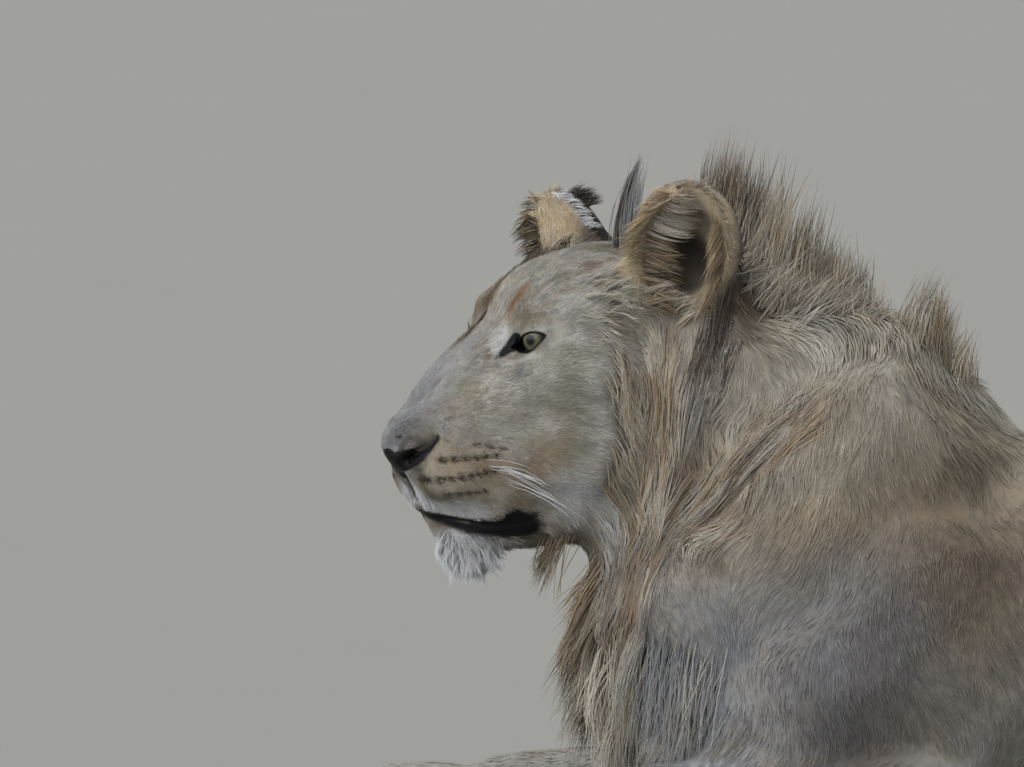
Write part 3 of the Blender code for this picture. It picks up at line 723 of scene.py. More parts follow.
def markings(points):
    # linear colour of the coat at each point
    body, whole = toBody(points), toHead(points)
    head, bothSides = mirrored(whole), mirrored(body)
    base = np.tile(colour["grey"], (len(points), 1))
    # painted shade: darker, bluish grey low on the body
    base = towards(base, "flank", 0.75 * (1 - ramp(body[:, 2], 0.1, 0.34)))
    onHead = 1 - ramp(np.linalg.norm((whole - skullMiddle) / (0.15, 0.13, 0.16), axis=1), 0.9, 1.2)
    onBody = 1 - onHead
    for centre, reach, name, strength in bodyWashes:
        base = towards(base, name, strength * near(body, centre, reach, 0.7) * onBody)
    tuftAway = np.max(np.abs(body / mm - tuftMiddle) / tuftReach, axis=1)
    base = towards(base, "dark", 0.9 * (1 - ramp(tuftAway, 0.9, 1.3)))
    patchy, blotch, fine = (hashNoise(points, size, 3) - 0.5 for size in (35, 13, 5))
    where = {"back": onBody * ramp(body[:, 2], 0.16, 0.28), "body": onBody, "head": onHead, "all": 1.0}
    for place, name, strength, size, seed, least in mottling:
        if name == "light":
            base = base * (1 + 0.2 * patchy + 0.24 * blotch + 0.24 * fine)[:, None]
        else:
            base = towards(base, name, strength * where[place] * np.clip(hashNoise(points, size, seed) - least, 0, 1))
    bodyEdge, headEdge = 0.75 + 0.5 * hashNoise(points, 30, 12), 0.7 + 0.6 * hashNoise(points, 9, 12)
    leftMore = onBody * (0.5 + 0.5 * ramp(body[:, 1], -0.03, 0.03))  # fainter on the right
    for marks, local, ragged, most in ((bodyMarks, bothSides, bodyEdge, leftMore), (headMarks, head, headEdge, 1.0)):
        for path, radius, soft, name, strength in marks:
            edge = radius * mm * ragged
            share = 1 - ramp(pathDistance(local, path)[0], edge * (1 - soft), edge * (1 + soft))
            base = towards(base, name, strength * most * share)
    # brown lines and specks of the face, much of them painted shade
    for path, radius, strength in faceShades:
        away, _ = pathDistance(head, path)
        base = towards(base, "brown", strength * np.exp(-(away / (radius * mm)) ** 2))
    # painted shadow of the far brow, dark along the forehead, and painted brown shade beside it
    away, _ = pathDistance(whole, farBrowShadow)
    base = towards(base, "dark", 0.75 * (1 - ramp(away, 0.002, 0.009)))
    away, _ = pathDistance(whole, [(40, -16, 2), (17, -40, 20), (4, -36, 40)])
    base = towards(base, "brown", 0.65 * (1 - ramp(away, 0.004, 0.016)))
    # backs of the ears, black above a pale base
    for side in (1, -1):
        rel = whole - (-0.105, 0.093 * side, 0.068)
        isEar = 1 - ramp(np.linalg.norm(rel / (0.06, 0.06, 0.066), axis=1), 0.85, 1.05)
        behind = ramp(-(rel @ earOpening(42, side)), 0.004, 0.016) * isEar
        base = towards(base, "dark", 0.85 * behind * ramp(rel[:, 2], -0.02, 0.01))
    flat = head[:, [0, 2]]
    onPad = ramp(head[:, 1], 0.012, 0.024)
    for first, last, count, size in whiskerRows:
        away, _ = pathDistance(flat, (first, last))
        base = towards(base, "brown", 0.45 * onPad * (1 - ramp(away, 1.0 * mm, 3.0 * mm)))
        for place in np.linspace(first, last, count):
            away = np.linalg.norm(flat / mm - place, axis=1)
            base = towards(base, "black", 0.9 * onPad * (1 - ramp(away, size * 0.6, size * 1.3)))
    for place in oddSpots:
        away = np.linalg.norm(whole / mm - place, axis=1)
        base = towards(base, "dark", 0.9 * (1 - ramp(away, 1.2, 2.6)))
    for path, first, last in blackSkin:
        away, along = pathDistance(head, path)
        edge = (first + (last - first) * along) * mm * (0.9 + 0.4 * hashNoise(points, 6, 13))
        base = towards(base, "black", 0.85 * (1 - ramp(away, edge, edge + 2.5 * mm)))
    # painted shade in the gaps between the toes
    for forward, left, _ in toeRows:
        ahead, aside = body[:, 0] - forward * mm, body[:, 1] - left * mm
        onFoot = ramp(ahead, -0.05, -0.02) * (1 - ramp(np.abs(aside), 0.045, 0.055)) * (1 - ramp(ahead, 0.06, 0.08))
        base = towards(base, "dark", 0.8 * onFoot * toeGaps(ahead, aside, toeLook["gapShade"]))
    lids, tear = eyeSurround(points)
    base = towards(base, "black", 1 - ramp(lids, 1.2 * mm, 2.6 * mm))
    base = towards(base, "black", 1 - ramp(tear, 6.0 * mm, 8.5 * mm))
    return base


def bareSkin(points):
    # 1 on nose leather, lips and lid rims, where no hair grows
    head = mirrored(toHead(points))
    bare = np.zeros(len(points))
    for path, first, last in blackSkin + noseLeather:
        away, along = pathDistance(head, path)
        edge = (first + (last - first) * along) * mm
        bare = np.maximum(bare, 1 - ramp(away, edge - 0.6 * mm, edge + 0.8 * mm))
    lids, tear = eyeSurround(points)
    bare = np.maximum(bare, 1 - ramp(lids, 0.8 * mm, 2.0 * mm))
    bare = np.maximum(bare, 1 - ramp(tear, 4.6 * mm, 6.2 * mm))
    return bare


def earHollow(points):
    # 1 deep in the bowl of an ear, where the skin is bare and painted dark as shade
    whole = toHead(points)
    hollow = np.zeros(len(points))
    for side in (1, -1):
        opening = earOpening(50, side)
        rel = whole - (-0.104, 0.092 * side, 0.062)
        along = rel @ opening
        across = np.linalg.norm(rel - along[:, None] * opening, axis=1)
        inside = (1 - ramp(across, 0.024, 0.036)) * (1 - ramp(along, -0.004, 0.012)) * ramp(along, -0.045, -0.035)
        hollow = np.maximum(hollow, inside)
    return hollow


# coat: tufts rooted in the skin

# streaks along the coat: how strong they are in the shortest hair, and how much more in the longest
streakLook = {"brown": (0.2, 0.7), "pale": (0.14, 0.4), "bright": (0.17, 0.13), "fleck": 0.34, "fleckSize": 6}

lieOf = {  # which way the hair lies on each solid, in the body's frame: forward, left, up
    "belly": (-1, 0, -0.25), "rump": (-1, 0, -0.35), "chest": (-0.8, 0, -0.6),
    "left_thigh": (-0.5, 0, -0.8), "right_thigh": (-0.5, 0, -0.8),
    "left_shank": (0.9, 0, -0.2), "right_shank": (0.9, 0, -0.2),
    "left_hind_foot": (1, 0, -0.1), "right_hind_foot": (1, 0, -0.1),
    "left_shoulder": (-0.25, 0, -1), "right_shoulder": (-0.25, 0, -1),
    "left_forearm": (1, 0, -0.15), "right_forearm": (1, 0, -0.15),
    "left_forepaw": (1, 0, -0.1), "right_forepaw": (1, 0, -0.1),
    "tail_base": (-0.7, 0.2, -0.5), "tail_middle": (0.3, 1.0, 0), "tail_end": (1, 0.25, 0), "tail_tuft": (1, 0, 0),
    "neck": (0.2, 0.1, -1),
}

# combs that turn the lie near them, in the body's frame: place, reach, direction
combs = [
    ((170, -20, 500), (60, 50, 60), (-0.35, 0.0, 1.0)),  # crest stands up
    ((80, -10, 460), (70, 40, 50), (-0.7, 0.0, 0.7)),
    ((110, 55, 465), (90, 45, 50), (-0.85, 0.1, -0.45)),  # from the crest down to the neck
    ((0, 0, 430), (50, 40, 50), (-0.8, 0.0, 0.6)),
    ((130, 130, 380), (80, 70, 60), (0.7, 0.3, -0.65)),  # side of the neck sweeps forward
    ((160, 150, 300), (100, 80, 80), (0.7, 0.1, -0.8)),
    ((240, 100, 200), (80, 100, 90), (0.35, 0.0, -1.0)),
    ((50, 170, 360), (70, 80, 70), (0.35, 0.4, -0.7)),
    ((30, 100, 450), (90, 60, 50), (0.05, 0.7, -0.6)),  # over the shoulder blade
    ((50, 190, 260), (80, 80, 80), (0.35, 0.1, -0.95)),
    ((-50, 140, 360), (70, 100, 80), (-0.5, 0.5, -0.8)),
    ((200, -120, 300), (150, 100, 160), (0.2, 0.0, -1.0)),
    ((-300, 0, 380), (300, 80, 60), (-1.0, 0.0, 0.0)),  # along the back
]

coatLook = {
    "seed": 7,
    "faceCover": 2.4, "bodyCover": 1.12, "maneCover": 2.55,  # tuft area over skin area
    "lengths": (0.75, 1.25), "widths": (0.8, 1.25), "rises": (0.6, 1.4),  # shares of the local size
    "stray": 0.16,  # how far a tuft turns off the lie
    "shade": 0.075, "rootShade": 0.8,  # spread of brightness, and the roots' painted shade
    "wide": (0.75, 1.0), "taper": 0.75, "high": 0.38,  # a blade's width at its root and what it gains, its ridge
    "round": 0.28,  # how round a tuft looks in the light
    "rootDepth": 0.0008, "floorGap": 0.0006,
    "patch": 0.0012,  # half of a tuft's patch on the map
    "mostFaces": 190000,  # in one piece
}
rng = np.random.default_rng(coatLook["seed"])


def hairLie(points, normals, solids, pairs):
    head, body = toHead(points), toBody(points)
    lie = np.array([lieOf.get(name, (0, 0, 0)) for name in flesh], float)[solids] * bodyTurn
    names = np.array(flesh)[solids]
    faceSolids, earSolids = ["head", "nose", "lower_jaw"], ["left_ear", "right_ear"]
    # over the face the hair runs back from the nose and outward from between the eyes
    fromNose = head - np.array([0.125, 0.0, -0.075])
    fromNose[:, 2] *= 0.9
    face = unit(fromNose) + (-0.25, 0, 0)
    face[:, 2] -= 0.55 * ramp(-head[:, 0], -0.02, 0.06) * ramp(-head[:, 2], -0.03, 0.03)
    face[:, 2] -= 0.5 * ramp(-head[:, 2], 0.13, 0.17)  # the beard hangs
    face = face[:, :1] * headFront + face[:, 1:2] * headSide + face[:, 2:] * up
    lie = np.where(np.isin(names, faceSolids)[:, None], face, lie)
    for name in earSolids:
        middle = boxMiddle(name) - up * 0.045
        lie = np.where((names == name)[:, None], unit(points - middle) + up * 0.5, lie)
        low = (names == name) & (points[:, 2] < middle[2] + 0.022)
        lie = np.where(low[:, None], -up - headFront * 0.2, lie)
    headShare = spread(np.isin(names, faceSolids + earSolids).astype(float), pairs, 6, 0.7)
    lie = spread(unit(lie), pairs, 6, 0.7)
    lie = spread(lie, pairs, 14, 0.7 * (1 - headShare))
    for centre, reach, direction in combs:
        share = (near(body, centre, reach, 0.7) * (1 - headShare))[:, None]
        lie = lie * (1 - share) + unit(np.array(direction, float)) * bodyTurn * share
    # the ruff and what hangs under it fall straight down
    ruff, _ = pathDistance(mirrored(head), [(-85, 110, 10), (-80, 110, -100), (-60, 100, -220)])
    share = (1 - ramp(ruff, 0.018, 0.04))[:, None]
    lie = lie * (1 - share) + (-up + headFront * 0.12) * share
    lie = spread(unit(lie), pairs, 3, 0.6)
    lie = spread(lie, pairs, 7, 0.7 * (1 - headShare))
    flat = alongSkin(lie, normals)
    # slow swirls, so that it never lies quite straight
    wander = hashNoise(points, 70, 21) + 0.9 * hashNoise(points, 28, 22) + 0.6 * hashNoise(points, 12, 23) - 1.25
    turn = (wander * (1.5 - 0.9 * headShare))[:, None]
    return unit(flat * np.cos(turn) + np.cross(normals, flat) * np.sin(turn))


def sampleSkin(chance, count):
    # roots spread over the skin, as likely on each of its faces as its chance says
    edges = np.cumsum(chance) / chance.sum()
    picks = np.searchsorted(edges, (np.arange(count) + rng.random(count)) / count)
    picks = np.minimum(picks, len(skinTris) - 1)
    u, v = rng.random(count), rng.random(count)
    flip = u + v > 1
    u, v = np.where(flip, 1 - u, u), np.where(flip, 1 - v, v)
    return skinTris[picks], skinLoops[picks], np.stack([1 - u - v, u, v], 1)


def blendAt(values, corners, shares):
    # a value at the roots, from the three corners of the face that each stands on
    return np.sum(values[corners] * (shares if values.ndim == 1 else shares[..., None]), axis=1)


def nearestSkin(points):
    # nearest place on the skin, its normal and its face
    found = [skinTree.find_nearest(Vector(p)) for p in points]
    return (np.array([f[k] for f in found]) for k in range(3))


def streaksOf(points, lie, pairs, rounds, seed):
    # noise drawn out along the lie of the hair, about -1 to 1
    value = np.random.default_rng(seed).normal(0, 1, len(points))
    a, b = pairs.T
    edge = unit(points[b] - points[a])
    forA, forB = (np.abs(np.sum(edge * lie[end], axis=1)) ** 7 for end in (a, b))
    total = 0.25 + np.bincount(a, forA, len(points)) + np.bincount(b, forB, len(points))
    for _ in range(rounds):
        value = (0.25 * value + np.bincount(a, forA * value[b], len(points))
                 + np.bincount(b, forB * value[a], len(points))) / total
    value = value - value.mean()
    return np.clip(value / (value.std() * 1.6), -1, 1)


def skinData():
    # everything that the tufts need to know about the skin, point by point
    points, normals = readPoints(skin.data), readPoints(skin.data, "normal")
    pairs = edgePairs(skin.data)
    solids = nearestSolid(points)
    numbers = coatNumbers(points, solids, pairs, 4)
    lie = hairLie(points, normals, solids, pairs)
    naked = bareSkin(points)
    bare = np.maximum(naked, ramp(earHollow(points), 0.1, 0.6))
    trim = 1 - 0.6 * np.clip(spread(naked, pairs, 8, 0.7) * 2.5, 0, 1)  # hair is shorter beside bare skin
    # the right side has fewer and wider tufts
    body, head = toBody(points), toHead(points)
    farSide = ramp(-body[:, 1], 0.02, 0.1) * (1 - 0.6 * ramp(head[:, 0], -0.12, -0.05))
    farSide = np.maximum(farSide, 0.9 * ramp(-head[:, 1], 0.02, 0.06) * ramp(head[:, 0], -0.14, -0.08))
    return {"points": points, "normals": normals, "solids": solids, "lie": lie,
            "length": numbers[:, 1] * mm * trim, "width": numbers[:, 2] * mm * (1 + 0.7 * farSide),
            "rise": np.radians(numbers[:, 3]) * (0.4 + 0.6 * trim), "bare": bare,
            "streak": streaksOf(points, lie, pairs, 10, 5), "warmth": streaksOf(points, lie, pairs, 16, 6)}


def leaders(roots, size, seed):
    # the tuft that each one leans towards, one in so many
    order = np.random.default_rng(seed).permutation(len(roots))[:max(1, len(roots) // size)]
    tree = KDTree(len(order))
    for number, index in enumerate(order):
        tree.insert(roots[index], number)
    tree.balance()
    return np.array([order[tree.find(p)[1]] for p in roots])


def growTufts(weight, cover, segments, size, gather, seed):
    # as many tufts of the local size as cover the skin this many times over
    density = weight * (1 - data["bare"]) / (0.5 * data["length"] * data["width"])
    chance = skinAreas * density[skinTris].mean(axis=1)
    count = int(cover * np.sum(chance))
    corners, loops, shares = sampleSkin(chance, count)

    def local(name):
        return blendAt(data[name], corners, shares)

    root, normal = local("points"), unit(local("normals"))
    lie = alongSkin(local("lie"), normal)
    length = local("length") * rng.uniform(*coatLook["lengths"], count)
    width = local("width") * rng.uniform(*coatLook["widths"], count)
    rise = local("rise") * rng.uniform(*coatLook["rises"], count)
    leader = leaders(root, size, seed)
    lie = unit(lie + np.cross(lie, normal) * rng.normal(0, coatLook["stray"], count)[:, None])
    spine = [root - normal * coatLook["rootDepth"]]
    here, away, step, direction = root.copy(), normal.copy(), length / segments, lie
    for k in range(1, segments + 1):
        t = k / segments
        if segments <= 2:  # a short blade, bent once
            out = np.sin(rise) * t - 0.35 * np.sin(rise) * t * t
            spine.append(root + lie * (length * np.cos(rise) * t)[:, None] + normal * (length * out)[:, None])
            continue
        # long hair feels its way over the skin, turning with the lie under it
        lift = rise * (1.0 - 1.25 * t)
        here = here + direction * (step * np.cos(lift))[:, None] + away * (step * np.sin(lift))[:, None]
        ground, away, faces = nearestSkin(here)
        direction = unit(direction * 0.45 + data["lie"][skinTris[faces]].mean(axis=1) * 0.55 - up * 0.06)
        direction = alongSkin(direction, away)
        gap = np.sum((here - ground) * away, axis=1)
        here = here + away * np.maximum(length * 0.03 + 0.001 - gap, 0)[:, None]
        spine.append(here.copy())
    spine = np.stack(spine, 1)
    t = np.linspace(0, 1, segments + 1)[None, :, None]
    spine = spine + (spine[leader] - spine) * gather * t ** 1.4
    spine[..., 2] = np.maximum(spine[..., 2], coatLook["floorGap"])
    return {"spine": spine, "normal": normal, "width": width, "root": root, "leader": leader, "length": length,
            "uv": blendAt(skinUv, loops, shares), "corner": corners[:, 0],
            "streak": local("streak"), "warmth": local("warmth")}


def tintTufts(tufts):
    # the markings, drawn out in streaks, the more so the longer the hair
    count = len(tufts["root"])
    tint = markings(tufts["root"])
    long = ramp(tufts["length"], 0.012, 0.045)
    isCoat = ramp(tint.mean(axis=1), 0.03, 0.1)
    brown, pale, streak = (short + more * long for short, more in map(streakLook.get, ("brown", "pale", "bright")))
    tint = towards(tint, "brown", isCoat * brown * np.clip(tufts["warmth"], 0, 1))
    tint = towards(tint, "pale", isCoat * pale * np.clip(-tufts["warmth"], 0, 1))
    fleck = streakLook["fleck"] * (hashNoise(tufts["root"], streakLook["fleckSize"], 9) - 0.5)
    bright = 1 + tufts["streak"] * streak + fleck + rng.normal(0, coatLook["shade"], count)
    bright = bright + rng.normal(0, coatLook["shade"] * 0.6, count)[tufts["leader"]]
    tufts["tint"] = tint * np.clip(bright, 0.5, 1.5)[:, None]
    return tufts


def bladeFaces(rings):
    # corners of one closed three-sided blade: its root, its sides and its tip
    pattern = [(0, 2, 1)]
    sides = ((0, 1), (1, 2), (2, 0))
    for k in range(0, 3 * rings - 3, 3):
        for a, b in sides:
            pattern += [(k + a, k + b, k + b + 3), (k + a, k + b + 3, k + a + 3)]
    pattern += [(3 * rings - 3 + a, 3 * rings - 3 + b, 3 * rings) for a, b in sides]
    return np.array(pattern)


def bladeParts(tufts):
    # corners, normals, colours and map places of one batch of tufts
    spine, normal, width = tufts["spine"], tufts["normal"], tufts["width"]
    count, rings = len(spine), spine.shape[1] - 1
    along = unit(spine[:, 1:] - spine[:, :-1])
    side = unit(np.cross(along, normal[:, None, :]))
    top = np.cross(side, along)
    t = np.arange(rings) / rings
    atRoot, growth = coatLook["wide"]
    wide = width[:, None] * (atRoot + growth * t) * (1 - t) ** coatLook["taper"] if rings > 1 else width[:, None]
    wide = wide[..., None]
    base = spine[:, :-1]
    ring = np.stack([base - side * wide / 2, base + top * wide * coatLook["high"], base + side * wide / 2], 2)
    corners = np.concatenate([ring.reshape(count, -1, 3), spine[:, -1:]], 1)
    radial = np.stack([-side * 0.7 + top * 0.1, top, side * 0.7 + top * 0.1], 2)
    bend = np.concatenate([radial.reshape(count, -1, 3), along[:, -1:] * 0.4 + top[:, -1:] * 0.6], 1)
    # pale hair lets light through, so it is lit more from above
    glow = 0.15 + 1.3 * ramp(tufts["tint"].mean(axis=1), 0.33, 0.55)
    turned = tufts["turned"] if "turned" in tufts else np.full(count, coatLook["round"])
    glow = glow * (1 + turned) / (1 + coatLook["round"])
    bend = unit(unit(bend) * turned[:, None, None] + normal[:, None, :] + up * glow[:, None, None])
    level = np.concatenate([np.repeat(t, 3), [1.0]])
    # the roots are painted darker: painted shade deep in the coat
    shade = coatLook["rootShade"] + (1 - coatLook["rootShade"]) * level ** 0.6
    tint = tufts["tint"][:, None, :] * shade[None, :, None]
    patch = coatLook["patch"]
    spot = np.stack([np.append(np.tile([-patch, 0.0, patch], rings), 0.0),
                     (level - 0.5) * 2 * patch + np.append(np.tile([0, patch / 3, 0], rings), 0.0)], 1)
    return corners, bend, tint, tufts["uv"][:, None, :] + spot[None], rings


def meshTufts(name, batches):
    parts, faces, first = [], [], 0
    for tufts in batches:
        *values, rings = bladeParts(tufts)
        starts = np.arange(len(values[0])) * (3 * rings + 1) + first
        faces.append((bladeFaces(rings)[None] + starts[:, None, None]).reshape(-1, 3))
        parts.append([value.reshape(-1, value.shape[-1]) for value in values])
        first += len(parts[-1][0])
    faces = np.concatenate(faces)
    places, bends, tints, maps = (np.concatenate(group) for group in zip(*parts))
    mesh = bpy.data.meshes.new(name)
    mesh.vertices.add(len(places))
    push(mesh.vertices, "co", places)
    mesh.loops.add(faces.size)
    mesh.loops.foreach_set("vertex_index", faces.astype(np.int32).ravel())
    mesh.polygons.add(len(faces))
    mesh.polygons.foreach_set("loop_start", np.arange(0, faces.size, 3, dtype=np.int32))
    mesh.polygons.foreach_set("use_smooth", np.ones(len(faces), bool))
    mesh.update(calc_edges=True)
    push(mesh.uv_layers.new(name="OFBake").data, "uv", maps[faces.ravel()])
    paintTint(mesh, tints)
    mesh.normals_split_custom_set_from_vertices(bends.astype(np.float32))
    piece = bpy.data.objects.new(name, mesh)
    scene.collection.objects.link(piece)
    return piece


selectOnly(skin)
bpy.ops.object.mode_set(mode="EDIT")
bpy.ops.mesh.select_all(action="SELECT")
bpy.ops.uv.smart_project(angle_limit=1.15, island_margin=0.002, scale_to_bounds=True)
bpy.ops.object.mode_set(mode="OBJECT")
skin.data.uv_layers.active.name = "OFBake"
skinUv = pull(skin.data.uv_layers.active.data, "uv", 2, np.float32).astype(float)
print("skin unwrapped")

skin.data.calc_loop_triangles()
skinTris = pull(skin.data.loop_triangles, "vertices", 3)
skinLoops = pull(skin.data.loop_triangles, "loops", 3)
skinPoints = readPoints(skin.data)
skinAreas = np.linalg.norm(np.cross(skinPoints[skinTris[:, 1]] - skinPoints[skinTris[:, 0]],
                                    skinPoints[skinTris[:, 2]] - skinPoints[skinTris[:, 0]]), axis=1) / 2
skinTree = BVHTree.FromPolygons([Vector(p) for p in skinPoints], skinTris.tolist())
data = skinData()

# two kinds of hair: shortest and longest in mm, cover, segments, tufts to a bunch, how far their tips gather
kinds = {
    "short": (0, 27, coatLook["faceCover"], 1, 8, 0.3),
    "long": (27, 200, coatLook["maneCover"], 3, 12, 0.45),
}
thin = 1.0
grown = {}
for number, (kind, (low, high, cover, segments, size, gather)) in enumerate(kinds.items()):
    lengths = data["length"] / mm
    weight = ((lengths >= low) & (lengths < high)).astype(float)
    if kind == "short":
        weight = weight * (1 + (coatLook["bodyCover"] / cover - 1) * skullShare(data["points"], 0.15, 0.2))
    grown[kind] = tintTufts(growTufts(weight, cover * thin, segments, size, gather, 100 + number))
    print(kind, "hair:", len(grown[kind]["root"]), "tufts")


def alongPath(path, share):
    path = np.array(path, float) * mm
    place = np.clip(share, 0, 1) * (len(path) - 1)
    first = np.minimum(place.astype(int), len(path) - 2)
    t = (place - first)[:, None]
    return path[first] * (1 - t) + path[first + 1] * t


def brush(where, roots, tips, locks, strands, width, tones, bulge, loose, wide, gather=0.55, side=1, shift=0,
          turned=3.0, hug=0.0):
    # locks of hair from one path to another: each lock's strands part at the root and meet at the tip
    locks = max(2, round(locks * (1)))
    count = locks * strands
    lock = np.repeat(np.arange(locks), strands)
    flip = np.array([1, side, 1])

    def stray(number, size):
        return rng.normal(0, 1, (number, 3)) * size * mm

    share = (np.arange(locks) + rng.uniform(0, 1, locks)) / locks
    offset = stray(locks, wide * 0.5)
    lockRoot = alongPath(roots, share) + offset
    lockTip = alongPath(tips, np.clip(share + rng.normal(0, 0.05, locks), 0, 1)) + offset * 0.8
    lockTip = lockTip + stray(locks, wide * 0.35)
    lockBulge = np.array(bulge) * mm * rng.uniform(0.2, 1.6, (locks, 1)) + stray(locks, wide * 0.22)
    root = toRow((lockRoot[lock] + stray(count, loose)) * flip + shift, where)
    tip = toRow((lockTip[lock] + stray(count, loose * (1 - gather))) * flip + shift, where)
    ground, normal, faces = nearestSkin(root)
    ground = ground - normal * 0.001
    tip = tip + (ground - root) * 0.5
    reach = rng.uniform(0.6, 1.0, count)[:, None]
    middle = (ground + tip) / 2 + toRow(lockBulge[lock] * flip, where) - toRow((0, 0, 0), where)
    middle = middle + normal * np.linalg.norm(tip - ground, axis=1)[:, None] * 0.06
    t = np.linspace(0, 1, 5)[None, :, None] * reach[:, :, None]
    spine = ground[:, None] * (1 - t) ** 2 + middle[:, None] * 2 * t * (1 - t) + tip[:, None] * t ** 2
    # hair that hugs the body follows it, in a layer this many mm deep
    for k in range(1, 5 if hug else 0):
        base, away, _ = nearestSkin(spine[:, k])
        gap = np.sum((spine[:, k] - base) * away, axis=1)
        spine[:, k] = base + away * np.clip(gap, 2.0 * mm, hug * mm)[:, None]
    spine[..., 2] = np.maximum(spine[..., 2], coatLook["floorGap"])
    palette = np.array([colour[tone] for tone in tones])
    tint = palette[rng.integers(0, len(tones), locks)][lock] * 0.5 + palette[rng.integers(0, len(tones), count)] * 0.5
    bright = 1 + rng.normal(0, 0.08, locks)[lock] + rng.normal(0, 0.08, count)
    return {"spine": spine, "normal": normal, "width": width * mm * rng.uniform(0.7, 1.2, count),
            "uv": skinUv[skinLoops[faces, 0]], "turned": np.full(count, turned),
            "tint": tint * np.clip(bright, 0.5, 1.5)[:, None]}


# brushed locks: roots, tips, locks, strands in each, strand's width, tones, bulge, looseness, spread; in mm
earBrushes = [  # all of one width and looseness
    # gold hair spilling over the front rim
    ([(-78, 92, 66), (-80, 98, 100), (-88, 108, 128)],
     [(-56, 88, 60), (-54, 92, 90), (-76, 102, 126)], 60, 9, ("gold", "gold", "ochre", "sand"), (2, 6, 3), 7.0),
    # down on the front wall of the bowl, which leaves only its back open
    ([(-80, 94, 80), (-82, 92, 30)],
     [(-104, 112, 74), (-100, 108, 20)], 40, 8, ("brown", "ochre", "brown", "sand"), (2, 8, 2), 8.0),
    ([(-76, 98, 34), (-92, 110, 16)],
     [(-98, 116, 44), (-108, 122, 30)], 26, 9, ("sand", "gold", "cream", "sand"), (2, 6, 6), 7.0),
    # across the upper bowl
    ([(-84, 104, 98), (-90, 110, 130)],
     [(-118, 124, 96), (-112, 122, 130)], 34, 9, ("brown", "sand", "ochre", "grey"), (3, 8, -4), 4.5),
    ([(-82, 100, 88), (-90, 106, 98)],
     [(-116, 116, 82), (-116, 118, 92)], 12, 10, ("cream", "pale", "cream"), (4, 10, -6), 3.0),
    # tuft hanging inside the back rim
    ([(-124, 134, 112), (-126, 128, 75), (-118, 118, 46)],
     [(-114, 128, 86), (-111, 124, 46), (-104, 118, 10)], 34, 9, ("sand", "ochre", "gold", "brown"), (3, 6, 0), 4.0),
    # rim
    ([(-122, 122, 50), (-132, 136, 85), (-127, 134, 120), (-108, 119, 142), (-86, 103, 128)],
     [(-124, 126, 40), (-136, 139, 78), (-132, 137, 114), (-116, 124, 142), (-92, 108, 134)],
     90, 6, ("sand", "gold", "ochre", "grey"), (0, 0, 0), 3.0),
    # pale tufts before the opening
    ([(-40, 78, 56), (-46, 90, 16)],
     [(-58, 92, 58), (-62, 100, 10)], 80, 6, ("pale", "sand", "grey", "sand", "cream"), (0, 6, 4), 18.0),
]

farEarBrushes = [  # the same, for what is seen past the head
    ([(-66, -88, 70), (-72, -94, 102)],
     [(-54, -114, 68), (-68, -108, 108)], 36, 9, ("gold", "cream", "sand", "gold"), (0, -3, 3), 6.0),
    ([(-82, -94, 112), (-88, -76, 97), (-96, -62, 83)],
     [(-92, -88, 112), (-100, -70, 94), (-110, -58, 80)], 26, 8, ("white", "pale", "white"), (0, 2, 3), 2.5),
    ([(-90, -88, 108), (-100, -78, 100)],
     [(-108, -84, 118), (-122, -74, 104)], 30, 9, ("dark", "black", "dark"), (0, 0, 3), 4.0),
]

headBrushes = [
    # dark hair standing along the far side of the forehead: painted shadow of the far brow
    (farBrowShadow, [(x - 12, y - 1, z + 9) for x, y, z in farBrowShadow], 100, 6, 0.7,
     ("dark", "brown", "dark"), (2, 0, 1), 1.6, 1.6),
    # leaf-shaped tuft on the crown
    ([(-96, 10, 82), (-112, 6, 84)],
     [(-116, 6, 152), (-124, 4, 160)], 5, 44, 1.0, ("grey", "flank"), (14, 0, 6), 4.5, 4.0),
    ([(-92, 12, 84), (-94, 12, 84)],
     [(-118, 6, 156), (-119, 6, 158)], 2, 24, 0.9, ("dark",), (15, 0, 4), 1.5, 1.5),
    # beard on the chin
    ([(76, 6, -168), (60, 22, -180), (36, 34, -184)],
     [(81, 8, -185), (61, 26, -204), (30, 38, -200)], 96, 9, 0.6,
     ("white", "white", "white"), (3, 3, 0), 2.5, 9.0),
    # brown tufts hanging behind the jaw
    ([(-10, 50, -178), (-30, 60, -195)], [(8, 45, -205), (-4, 50, -240)], 12, 16, 1.1,
     ("brown", "ochre", "sand"), (4, 0, -6), 4.0, 8.0),
    ([(-30, 60, -190), (-36, 65, -230)], [(-10, 50, -250), (-16, 55, -290)], 14, 18, 1.2,
     ("brown", "sand", "ochre"), (6, 0, -4), 5.0, 10.0),
]

